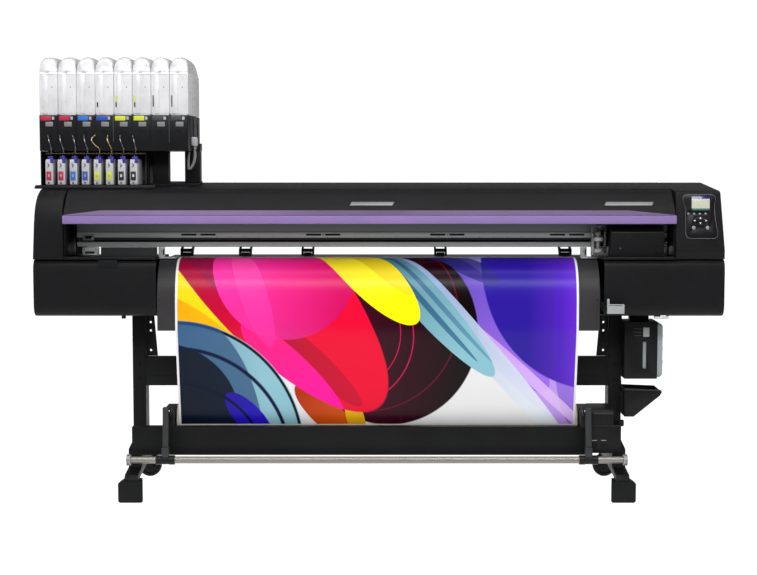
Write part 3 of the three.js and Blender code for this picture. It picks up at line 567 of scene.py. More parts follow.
def make_belt_bracket(face):
    """The belt's end bracket on the rail's left end, its foot, and the dark plate beside it."""

    def block(name, across, proud, up, material, width):
        low = (across[0], face - proud[0], up[0])
        high = (across[1], face - proud[1], up[1])
        brick("left_bracket_" + name, low, high, material, width=width)

    block("upper", (-1.207, -1.160), (0.014, 0.008), (1.0445, 1.070), "cast", 0.002)
    block("pulley", (-1.196, -1.168), (0.017, 0.013), (1.0515, 1.0640), "dark", 0.0015)
    rod("left_bracket_pin", (-1.166, face - 0.020, 1.054), (-1.166, face - 0.008, 1.054), 0.005, "chrome",
        sides=24)
    block("lower", (-1.207, -1.140), (0.022, 0.004), (0.984, 1.017), "cast", 0.002)
    block("slot", (-1.196, -1.158), (0.0235, 0.021), (0.9915, 1.0005), "dark", 0.0015)
    block("foot", (-1.180, -1.148), (0.030, 0.020), (0.9865, 0.9905), "rail_bright", 0.001)
    for k, x in enumerate((-1.199, -1.150)):
        screw(f"left_bracket_screw_{k}", (x, face - 0.022, 1.010), (0, -1, 0), 0.003, "chrome")
    brick("left_dark_plate", (-1.135, -0.1565, 0.978), (-0.905, -0.1440, 1.0172), "arm", width=0.002)


def make_platen_ends():
    """A slotted bracket and a flat strip at each end of the platen."""
    wide = 0.013
    for side, x in (("left", -0.886), ("right", 0.838)):
        brick(f"platen_end_bracket_{side}", (x - wide, -0.1565, 0.9770), (x + wide, -0.1440, 1.0172),
              "rail_bright", width=0.0015)
        brick(f"platen_end_slot_{side}", (x + wide - 0.008, -0.1574, 0.985),
              (x + wide - 0.003, -0.155, 1.010), "dark", width=0.0004)
        screw(f"platen_end_screw_{side}", (x, -0.1560, 1.0), (0, -1, 0), 0.003, "chrome")
    for sign in (-1, 1):
        near, far = sorted((sign * 0.824, sign * 0.892))
        brick(f"platen_end_strip_{side_name(sign)}", (near, -0.186, 0.9725), (far, -0.100, 0.9765),
              "rail_bright", width=0.001)


def make_pinch_rollers():
    body = BODY["pinch_rollers"]
    low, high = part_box("pinch_rollers")
    shaft_y, shaft_z = -0.045, 1.027
    rod("pinch_lift_shaft", (low.x, shaft_y, shaft_z), (high.x, shaft_y, shaft_z), 0.005, "cast", body,
        replaces=["pinch_rollers"])
    arm = [(-0.055, 1.034), (-0.058, 1.0145), (-0.098, 1.0075), (-0.101, 0.990), (-0.094, 0.9765),
           (-0.074, 0.9765), (-0.062, 0.990), (-0.037, 1.009), (-0.037, 1.034)]
    axle_y, axle_z = -0.085, 0.9832
    first = low.x + 0.030
    for k, offset in enumerate((0, 0.241, 0.499, 1.047, 1.562)):
        x = first + offset
        for sign in (-1, 1):
            near, far = sorted((x + sign * 0.018, x + sign * 0.026))
            prism_piece(f"pinch_arm_{k}_{side_name(sign)}", arm, "X", near, far, "satin", body, 0.0012)
        brick(f"pinch_yoke_{k}", (x - 0.019, -0.097, 0.9935), (x + 0.019, -0.060, 1.0065), "satin", body,
              0.002)
        for name, half, radius, material, sides in (("roller", 0.0165, 0.009, "rubber", 48),
                                                    ("axle", 0.027, 0.003, "chrome", 20)):
            rod(f"pinch_{name}_{k}", (x - half, axle_y, axle_z), (x + half, axle_y, axle_z), radius, material,
                body, sides)


# ---------------------------------------------------------------- covers
def rounded_shell(name, outline, x0, x1, material, node, radius=0.006, open_side=0, lean=0.0, body=MACHINE):
    """A moulded cover: an outline in (y, z) swept between x0 and x1, its edges rounded, and hollowed when an
    end stays open.

    open_side is -1 or 1 for the end, towards -X or +X, that stays open. lean moves the outer end's top
    inwards: positive for the end towards -X, negative for the end towards +X.
    """
    bm = prism(outline, "X", x0, x1)
    if lean:
        outer = x0 if lean > 0 else x1
        bottom = min(z for _, z in outline)
        top = max(z for _, z in outline)
        for v in bm.verts:
            if abs(v.co.x - outer) < 1e-5:
                v.co.x += lean * (v.co.z - bottom) / (top - bottom)
    if open_side:
        end = x0 if open_side < 0 else x1
        gone = [f for f in bm.faces if all(abs(v.co.x - end) < 1e-5 for v in f.verts)]
        bmesh.ops.delete(bm, geom=gone, context="FACES_ONLY")
    bevel(bm, radius, segments=4, angle=12)
    piece = publish(name, bm, material, body, [node] if node else ())
    if open_side:
        shell = piece.modifiers.new("wall", "SOLIDIFY")
        shell.thickness = WALL
        shell.offset = -1
        apply_modifiers(piece)
    return piece


def apply_modifiers(piece):
    graph = bpy.context.evaluated_depsgraph_get()
    graph.update()
    mesh = bpy.data.meshes.new_from_object(piece.evaluated_get(graph))
    old = piece.data
    piece.modifiers.clear()
    piece.data = mesh
    bpy.data.meshes.remove(old)
    mesh.set_sharp_from_angle(angle=radians(34))


def lower_outline():
    """The lower covers' section: flat rear and top, a broken front edge and a round foot."""
    low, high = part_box("left_lower_cover")
    front, bottom, top, rear = low.y, low.z, high.z, high.y
    foot = bezier((front, bottom + 0.055), (front, bottom + 0.020), (front + 0.012, bottom),
                  (front + 0.045, bottom), 6)
    edge = [(front + 0.020, top), (front + 0.004, top - 0.020), (front, top - 0.046)]
    return [(rear, bottom), (rear, top)] + edge + foot


def make_covers():
    outline = lower_outline()
    for side, open_side in (("left", 1), ("right", -1)):
        node = f"{side}_lower_cover"
        low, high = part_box(node)
        rounded_shell(f"{side}_lower_shell", outline, low.x, high.x, "cover", node, 0.005, open_side)

    low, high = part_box("left_end_cover")
    front = -0.289
    nose = smooth_path([(front, 1.120), (-0.277, 1.181), (-0.238, 1.228), (-0.178, 1.254)], 3)
    outline = [(high.y, low.z), (front, low.z)] + nose + [(high.y, high.z)]
    rounded_shell("left_end_shell", outline, low.x, high.x, "cover", "left_end_cover", 0.004, lean=0.014)

    low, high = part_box("right_end_cover")
    top_y = low.y + 0.030
    outline = [(high.y, low.z), (-0.281, low.z), (low.y, 1.010), (top_y, 1.2395), (top_y + 0.006, 1.246),
               (top_y + 0.030, 1.2500), (-0.178, 1.2545), (high.y, high.z)]
    rounded_shell("right_end_shell", outline, low.x, high.x, "cover", "right_end_cover", 0.004, lean=-0.020)

    softened("top_cover", "cover", 0.001)
    make_front_cover()
    make_ledges()
    make_cover_details()


def make_front_cover():
    body = BODY["front_cover"]
    low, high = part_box("front_cover")
    skin = smooth_path([(-0.184, 1.2525), (-0.205, 1.2435), (-0.222, 1.2325), (-0.262, 1.196),
                        (-0.2885, 1.1685), (-0.3000, 1.1560)], 4)
    bm = prism(sheet_outline(skin, 0.0045), "X", low.x, high.x)
    publish("front_cover_skin", bm, "cover", body, ["front_cover"], 40)
    rod("front_cover_hinge_bar", (low.x, -0.188, 1.2445), (high.x, -0.188, 1.2445), 0.0042, "steel", body)
    rib = [(y + 0.0035, z - 0.003) for y, z in skin] + [(-0.262, 1.176), (-0.200, 1.236)]
    for sign in (-1, 1):
        edge = high.x if sign > 0 else low.x
        near, far = sorted((edge, edge - sign * 0.004))
        prism_piece(f"front_cover_rib_{side_name(sign)}", rib, "X", near, far, "cover", body, 0.0004)
    make_trim(body)
    # Plain name plates with no lettering.
    for name, x, wide in (("badge_middle", -0.03, 0.17), ("badge_right", 1.00, 0.19)):
        badge(name, x, wide, body)


def make_trim(body):
    """The violet strip along the cover's lower edge, and the chamfer above it that runs out at both ends; the
    chamfer is the same violet, darkened as painted shade.
    """
    low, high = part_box("front_trim")
    strip = [(-0.2925, 1.1500), (-0.3050, 1.1515), (-0.3060, 1.1490), (-0.3060, 1.1200), (-0.3025, 1.1172),
             (-0.2965, 1.1172)]
    prism_piece("front_trim_strip", strip, "X", low.x, high.x, "violet", body, 0.0018, ["front_trim"], 3)
    lower, upper = (-0.3035, 1.1515), (-0.2885, 1.1695)
    left, right = low.x + 0.003, high.x - 0.003
    corners = [(left, *lower), (right, *lower), (right - 0.19, *upper), (left + 0.15, *upper)]
    bm = slab([(x, y - 0.0022, z + 0.0018) for x, y, z in corners],
              [(x, y + 0.001, z - 0.001) for x, y, z in corners])
    # The chamfer's darker violet is painted shade.
    publish("front_trim_chamfer", bm, "shaded_violet", body)


def badge(name, x, wide, body):
    """A slim slanted plate that lies on the front cover's lower slope."""
    low_point, high_point = Vector((0, -0.2640, 1.1945)), Vector((0, -0.2405, 1.2165))
    up = (high_point - low_point).normalized()
    out = Vector((0, -up.z, up.y)).normalized()
    slant = 0.008
    foot, head = -0.007, 0.013
    corners = [(-wide / 2, foot), (wide / 2, foot), (wide / 2 + slant, head), (-wide / 2 + slant, head)]
    bases = [low_point + up * dz + Vector((x + dx, 0, 0)) for dx, dz in corners]
    bm = slab([base + out * 0.0016 for base in bases], [base - out * 0.0010 for base in bases])
    bevel(bm, 0.0005, segments=2)
    publish(name, bm, "badge", body)


def make_ledges():
    """The narrow lip at the foot of the carriage bay, each side of the media, in front of the carriage."""
    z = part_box("left_lower_cover")[1].z
    bay_left, bay_right = -1.262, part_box("right_end_cover")[0].x
    shelf = [(-0.287, z + 0.0005), (-0.287, z + 0.0075), (-0.283, z + 0.0115), (-0.2695, z + 0.0115),
             (-0.2695, z + 0.0005)]
    for side, x0, x1 in (("left", bay_left, -0.892), ("right", 0.905, bay_right - 0.0005)):
        prism_piece(f"bay_shelf_{side}", shelf, "X", x0, x1, "cover", width=0.0015)
    for k, x in enumerate((-1.103, -0.938)):
        screw(f"bay_shelf_screw_{k}", (x, -0.2868, z + 0.005), (0, -1, 0), 0.0028, "dark")
    for side, x in (("left", bay_left + 0.0005), ("right", bay_right - 0.0045)):
        brick(f"bay_{side}_cheek", (x, -0.272, 0.9868), (x + 0.004, -0.150, 1.116), "cover", width=0.001)
    brick("bay_left_back", (-1.2335, -0.1495, 0.9868), (-1.150, -0.1475, 1.0175), "dark", width=0.0005)


def make_cover_details():
    for k, z in enumerate((0.764, 0.817)):
        screw(f"right_cover_screw_{k}", (1.372, -0.2892, z), (0, -1, 0), 0.0032)
        screw(f"left_cover_screw_{k}", (-1.368, -0.2892, z), (0, -1, 0), 0.0032)
    crease = [(-0.2905, 0.9235), (-0.2880, 0.9225), (-0.2880, 0.9265), (-0.2905, 0.9255)]
    for side, x0, x1 in (("left", -1.3838, -0.8922), ("right", 0.9052, 1.3878)):
        prism_piece(f"lower_cover_crease_{side}", crease, "X", x0 + 0.004, x1 - 0.004, "cover", width=0.0003)
    brick("cover_latch", (1.114, -0.262, 0.7330), (1.172, -0.235, 0.7435), "white", width=0.0025)
    brick("cover_latch_tongue", (1.136, -0.268, 0.7385), (1.160, -0.258, 0.7525), "white", width=0.0025)
    brick("left_cover_nub", (-1.036, -0.262, 0.7340), (-1.020, -0.246, 0.7445), "cover", width=0.0025)
    brick("lower_cover_pocket", (-1.122, -0.2915, 0.945), (-1.045, -0.2870, 0.9715), "satin", width=0.002)


# ---------------------------------------------------------------- control panel
def panel_matrix():
    """Panel space to world: x across, y into the machine, z up the slope, from the bezel's lower middle."""
    low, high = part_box("control_panel")
    origin = Vector(((low.x + high.x) / 2, low.y + 0.0040, low.z))
    return Matrix.Translation(origin) @ Matrix.Rotation(-PANEL_TILT, 4, "X")


def panel_piece(name, outline, y0, y1, material, body=MACHINE, width=0.0005, replaces=(), segments=2):
    bm = prism(outline, "Y", y0, y1)
    bevel(bm, width, segments=segments)
    bmesh.ops.transform(bm, matrix=panel_matrix(), verts=bm.verts)
    return publish(name, bm, material, body, replaces)


def bezel_outline(inset=0.0):
    """The bezel: round lower corners, a waist above the keys and round shoulders beside the display."""
    half = 0.0705
    top = 0.180
    curves = [
        ((half - 0.018, 0), (half - 0.004, 0.001), (half, 0.006), (half, 0.020), 4),
        ((half, 0.020), (half, 0.045), (half - 0.012, 0.060), (half - 0.012, 0.140), 8),
        ((half - 0.012, 0.140), (half - 0.012, 0.150), (half - 0.006, 0.152), (half - 0.008, 0.164), 4),
        ((half - 0.008, 0.164), (half - 0.011, 0.175), (half - 0.018, top), (half - 0.030, top), 4),
        ((-half + 0.018, top), (-half + 0.006, 0.179), (-half, 0.172), (-half, 0.160), 4),
        ((-half, 0.160), (-half, 0.148), (-half + 0.010, 0.142), (-half + 0.010, 0.110), 6),
        ((-half + 0.010, 0.022), (-half + 0.011, 0.009), (-half + 0.018, 0.001), (-half + 0.030, 0), 4),
    ]
    points = []
    for curve in curves:
        for point in bezier(*curve):
            if point not in points[-1:]:
                points.append(point)
    if not inset:
        return points
    center = Vector((0.0, 0.09))
    return [tuple(center + (Vector(p) - center) * (1 - inset / (Vector(p) - center).length)) for p in points]


def oval(x, z, a, b, count=28):
    return [(x + a * cos(2 * pi * k / count), z + b * sin(2 * pi * k / count)) for k in range(count)]


def ring_piece(name, outer, inner, y0, y1, material):
    """A thin printed line between two outlines of the same length, in panel space."""
    loops = ((outer, y0), (outer, y1), (inner, y1), (inner, y0))
    bm = looped([[(x, y, z) for x, z in outline] for outline, y in loops])
    bmesh.ops.transform(bm, matrix=panel_matrix(), verts=bm.verts)
    return publish(name, bm, material)


def make_panel():
    softened("control_panel", "panel", 0.0004)
    ring_piece("bezel_line", bezel_outline(0.001), bezel_outline(0.0024), -0.0043, -0.0038, "line")
    rectangle = [(-0.038, 0.111), (0.042, 0.111), (0.042, 0.174), (-0.038, 0.174)]
    panel_piece("display_frame", rectangle, -0.0046, -0.0036, "panel")
    panel_piece("display_screen", [(-0.034, 0.115), (0.038, 0.115), (0.038, 0.170), (-0.034, 0.170)],
                -0.0050, -0.0042, screen_material())
    keys = {f"function_key_{k + 1}": (-0.048 + 0.023 * k, 0.101, 0.0050, 0.0038) for k in range(4)}
    keys["end_key"] = (-0.027, 0.045, 0.0074, 0.0074)
    keys["enter_key"] = (0.028, 0.045, 0.0074, 0.0074)
    for name, (x, z, a, b) in keys.items():
        panel_piece(name + "_cap", oval(x, z, a, b), -0.0056, -0.002, "key", BODY[name], 0.0008, [name], 3)
    make_jog_pad()
    slot = [(-0.062, -0.026), (0.064, -0.026), (0.064, -0.0235), (-0.062, -0.0235)]
    panel_piece("panel_slot_line", slot, -0.0006, 0.002, "dark", width=0.0003)


def make_jog_pad():
    body = BODY["jog_pad"]
    middle = 0.073
    panel_piece("jog_pad_dish", oval(0, middle, 0.031, 0.016, 44), -0.0052, -0.002, "panel", body, 0.0008,
                ["jog_pad"], 3)
    for name, x, z, turn in (("up", 0, middle + 0.010, 0), ("down", 0, middle - 0.010, pi),
                             ("left", -0.023, middle, pi / 2), ("right", 0.023, middle, -pi / 2)):
        arrow = []
        for dx, dz in ((-0.0042, -0.003), (0.0042, -0.003), (0, 0.0045)):
            arrow.append((x + dx * cos(turn) - dz * sin(turn), z + dx * sin(turn) + dz * cos(turn)))
        panel_piece("jog_arrow_" + name, arrow, -0.0057, -0.0050, "white", body, 0.0002)


def screen_material():
    """A lit display: a blue header, a pale page with plain blocks, a green footer."""
    s = Surface("display", (0.4, 0.45, 0.4), 0.2, Coat_Weight=0.3)
    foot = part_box("control_panel")[0].z
    at = s.node("SeparateXYZ", {0: s.node("TexCoord", output=3)}, output=2)
    bottom = foot + 0.115 * cos(PANEL_TILT)
    top = foot + 0.170 * cos(PANEL_TILT)
    up = s.node("MapRange", {0: at, 1: bottom, 2: top, 3: 0.0, 4: 1.0})
    header = s.maths("GREATER_THAN", up, 0.84)
    footer = s.maths("LESS_THAN", up, 0.14)
    pale, dark = (0.62, 0.62, 0.5, 1), (0.14, 0.17, 0.24, 1)
    checks = s.node("TexChecker", {0: s.place((1, 1, 1.6)), 1: pale, 2: dark, 3: 130.0})
    page = s.mix(0.62, checks, (0.50, 0.50, 0.38, 1))
    color = s.mix(footer, s.mix(header, page, (0.008, 0.012, 0.16, 1)), (0.05, 0.16, 0.10, 1))
    s.feed(Base_Color=color, Emission_Color=color, Emission_Strength=0.12)
    return s.material


# ---------------------------------------------------------------- carriage and cutter
def make_carriage():
    body = BODY["print_carriage"]
    low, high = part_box("print_carriage")
    front, rear = low.y, -0.158
    side = [(rear, low.z), (rear, high.z), (front + 0.022, high.z), (front, high.z - 0.026),
            (front, low.z + 0.008), (front + 0.008, low.z)]
    prism_piece("print_carriage_cover", side, "X", low.x, high.x, "satin", body, 0.0035,
                ["print_carriage"], 3)
    brick("print_carriage_tongue", (low.x + 0.010, -0.161, 1.0435), (high.x - 0.010, -0.1405, 1.0525), "cast",
          body)
    inlay("print_carriage_band", front, (low.x + 0.002, high.x - 0.002), (low.z + 0.0085, 0.9905), "dark",
          body)
    for k, x in enumerate((low.x + 0.040, high.x - 0.034)):
        inlay(f"print_carriage_seam_{k}", front, (x, x + 0.0022), (0.994, 1.076), "dark", body, 0.0008,
              0.0003)
    knob = [(0, 0), (0, 0.0155), (0.003, 0.0155), (0.004, 0.0145), (0.004, 0.011), (0.0015, 0.010),
            (0.0015, 0)]
    lathe("print_carriage_knob", knob, (high.x - 0.019, front - 0.0002, 1.013), (0, -1, 0), "satin", body)
    inlay("print_carriage_latch", front, (low.x + 0.020, low.x + 0.040), (0.9785, 0.984), "cast", body, 0.005,
          0.0015)
    lathe("print_carriage_button", [(0, 0), (0, 0.005), (0.0025, 0.004), (0.0025, 0)],
          (low.x + 0.038, front - 0.0002, 1.018), (0, -1, 0), "rail_dark", body, 24)
    for k in range(7):
        x = high.x - 0.070 + k * 0.006
        brick(f"print_carriage_vent_{k}", (x, front + 0.024, high.z - 0.0004),
              (x + 0.0025, rear - 0.03, high.z + 0.0008), "dark", body, 0.0003)
    make_cutter(body)


def make_cutter(body):
    """The cutter head: a plate with posts, two clamps round the blade holder and a spring tower."""
    low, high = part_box("cutter_carriage")
    face = -0.178
    brick("cutter_plate", (low.x, face, low.z), (high.x, -0.1585, high.z), "cast", body, 0.002,
          ["cutter_carriage"])
    brick("cutter_tongue", (low.x + 0.006, -0.160, 1.0435), (high.x - 0.006, -0.1405, 1.0525), "cast", body)
    brick("cutter_left_post", (low.x + 0.001, -0.193, 0.987), (low.x + 0.012, face, 1.078), "rail_bright",
          body, 0.002)
    brick("cutter_upper_post", (low.x + 0.014, -0.193, 1.062), (low.x + 0.032, face, high.z - 0.004),
          "rail_bright", body)
    blade = (0.888, -0.215)
    for k, (z0, z1) in enumerate(((1.000, 1.014), (1.046, 1.060))):
        clamp_ring(f"cutter_clamp_{k}", oval(*blade, 0.021, 0.021, 40), oval(*blade, 0.0099, 0.0099, 40),
                   z0, z1, body)
        brick(f"cutter_clamp_arm_{k}", (blade[0] - 0.008, -0.196, z0), (blade[0] + 0.008, face, z1), "cast",
              body, 0.0012)
    brick("cutter_spring_tower", (0.911, -0.206, 1.012), (0.924, face, 1.094), "rail_dark", body, 0.002)
    coil = rod_profile(0.0035, 0.0085, 0.001)
    for k in range(9):
        lathe(f"cutter_coil_{k}", coil, (0.9175, -0.2070, 1.022 + 0.007 * k), (0, 0, 1), "chrome", body, 24)
    rod("cutter_solenoid", (0.882, -0.206, 1.066), (0.882, -0.206, 1.100), 0.011, "rail_dark", body)
    rod("cutter_guide_pin", (0.8715, -0.210, 0.992), (0.8715, -0.210, 1.062), 0.003, "chrome", body, 20)
    rod("cutter_idler_upper", (0.902, -0.196, 1.078), (0.902, face, 1.078), 0.010, "rubber", body)
    rod("cutter_idler_lower", (0.905, -0.192, 1.030), (0.905, face, 1.030), 0.007, "rubber", body)
    spots = ((0.872, 1.105), (0.904, 1.103), (0.925, 1.104), (0.898, 1.064), (0.925, 1.000), (0.884, 0.992),
             (0.897, 1.090), (0.912, 0.992))
    for k, (x, z) in enumerate(spots):
        screw(f"cutter_screw_{k}", (x, face, z), (0, -1, 0), 0.0030, "chrome" if k % 2 else "dark", body)
    make_blade_holder(blade)


def make_blade_holder(blade):
    """A slim holder with a fine tip and a collar; its profile's distances are heights above the floor."""
    profile = [(0.983, 0), (0.984, 0.0018), (0.992, 0.003), (0.998, 0.0082), (1.010, 0.0085), (1.012, 0.0078),
               (1.016, 0.0078), (1.018, 0.0085), (1.068, 0.0085), (1.069, 0.0118), (1.072, 0.0122),
               (1.082, 0.0122), (1.084, 0.0110), (1.086, 0)]
    lathe("blade_holder_body", profile, (*blade, 0), (0, 0, 1), "rod", BODY["blade_holder"], 48,
          ["blade_holder"])


def clamp_ring(name, outer, inner, z0, z1, body):
    loops = ((outer, z0), (outer, z1), (inner, z1), (inner, z0))
    return publish(name, looped([[(x, y, z) for x, y in outline] for outline, z in loops]), "cast", body)


# ---------------------------------------------------------------- media
def tangent_point(point, center, radius, side):
    """Where a line from a point touches a circle, on its front (-1) or rear (1) side."""
    y, z = point
    far = hypot(center[0] - y, center[1] - z)
    turn = atan2(center[1] - z, center[0] - y) + side * asin(radius / far)
    reach = sqrt(far * far - radius * radius)
    return (y + reach * cos(turn), z + reach * sin(turn))


def roll_center(node):
    low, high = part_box(node)
    return ((low.y + high.y) / 2, (low.z + high.z) / 2)


def web_path():
    """The media's print side from the supply to the take-up roll, and the index where the platen ends."""
    guide_low, guide_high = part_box("front_guide")
    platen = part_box("platen")[1]
    top = platen.z + 0.0012
    face = guide_low.y - 0.0012
    bend = 0.100
    rear = bezier((bend, top), (bend + 0.060, top), (bend + 0.100, top - 0.050),
                  (platen.y + 0.0012, top - 0.150), 16)[:11]
    front = bezier((guide_high.y, top), (guide_high.y - 0.084, top), (face, top - 0.07), (face, 0.780), 28)
    hem = (face, guide_low.z)
    start = tangent_point(rear[-1], roll_center("supply_roll"), 0.0812, 1)
    end = tangent_point(hem, roll_center("takeup_roll"), 0.0632, -1)

    def straight(a, b, steps, chosen):
        return [tuple(a[j] + (b[j] - a[j]) * k / steps for j in (0, 1)) for k in chosen]

    ascent = straight(start, rear[-1], 6, range(6))
    flat = straight((bend, top), (guide_high.y, top), 6, range(1, 6))
    drop = straight(front[-1], hem, 3, range(1, 4)) + straight(hem, end, 8, range(1, 9))
    path = ascent + rear[::-1] + flat + front + drop
    return path, len(ascent) + len(rear) + len(flat)


def make_media():
    low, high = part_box("media_web")
    path, front_start = web_path()
    lengths = [0.0]
    for a, b in zip(path, path[1:]):
        lengths.append(lengths[-1] + hypot(b[0] - a[0], b[1] - a[1]))
    zero = lengths[front_start]
    columns = 60
    bm = bmesh.new()
    layer = bm.loops.layers.uv.new("print")
    outline = sheet_outline(path, 0.0006)
    back = outline[len(path):][::-1]
    sides = []
    for line in (path, back):
        grid = []
        for i, (y, z) in enumerate(line):
            row = []
            for k in range(columns + 1):
                x = low.x + (high.x - low.x) * k / columns
                row.append(bm.verts.new((x, y, z)))
            grid.append(row)
        sides.append(grid)
    top, under = sides

    def face(corners, uvs):
        made = bm.faces.new(corners)
        for loop, uv in zip(made.loops, uvs):
            loop[layer].uv = uv

    def uv(i, k):
        return ((high.x - low.x) * k / columns, lengths[i] - zero)

    for i in range(len(path) - 1):
        for k in range(columns):
            spots = [(i, k), (i, k + 1), (i + 1, k + 1), (i + 1, k)]
            face([top[a][b] for a, b in spots], [uv(a, b) for a, b in spots])
            face([under[a][b] for a, b in reversed(spots)], [(-1, -1)] * 4)
        for k in (0, columns):
            face([top[i][k], top[i + 1][k], under[i + 1][k], under[i][k]], [(-1, -1)] * 4)
    for i in (0, len(path) - 1):
        for k in range(columns):
            face([top[i][k], top[i][k + 1], under[i][k + 1], under[i][k]], [(-1, -1)] * 4)
    piece = publish("printed_media", bm, print_material(high.x - low.x), MACHINE, ["media_web"], 60)
    make_roll("supply_roll", 0.810, 0.080, 0.115)
    make_roll("takeup_roll", 0.820, 0.062, 0)
    softened("supply_stand", "steel", 0.0015)


def make_roll(node, half, radius, flange):
    """Wound media on a card core, its two core plugs and, with a flange radius, the discs beside it."""
    low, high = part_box(node)
    body = BODY[node]
    y, z = roll_center(node)
    x0, x1 = MIDDLE - half, MIDDLE + half
    span = x1 - x0
    core = 0.039
    lip = 0.0012
    wound = [(0, core), (0, radius - lip), (lip, radius), (span - lip, radius), (span, radius - lip),
             (span, core)]
    hollow(node + "_media", wound, (x0, y, z), (1, 0, 0), "paper", body, 96, [node])
    reach = span + 0.008
    wall = [(0, core - 0.006), (0, core - 0.0004), (reach, core - 0.0004), (reach, core - 0.006)]
    hollow(node + "_core", wall, (x0 - 0.004, y, z), (1, 0, 0), "card", body, 64)
    for sign, edge, end in ((-1, x0, low.x), (1, x1, high.x)):
        start = edge - sign * 0.03
        reach = abs(end - start)
        plug = [(0, 0), (0, core - 0.007), (0.0345, core - 0.007), (0.035, core - 0.0085), (0.0355, 0.018),
                (0.038, 0.015), (reach - 0.002, 0.015), (reach, 0.013), (reach, 0)]
        lathe(f"{node}_plug_{side_name(sign)}", plug, (start, y, z), (sign, 0, 0), "satin", body)
        if flange:
            disc = [(0, core), (0, flange - 0.003), (0.002, flange), (0.004, flange), (0.006, flange - 0.002),
                    (0.006, flange - 0.018), (0.004, flange - 0.022), (0.004, core + 0.012),
                    (0.006, core + 0.008), (0.006, core)]
            hollow(f"{node}_flange_{side_name(sign)}", disc, (edge + sign * 0.003, y, z), (sign, 0, 0),
                   "satin", body, 96)


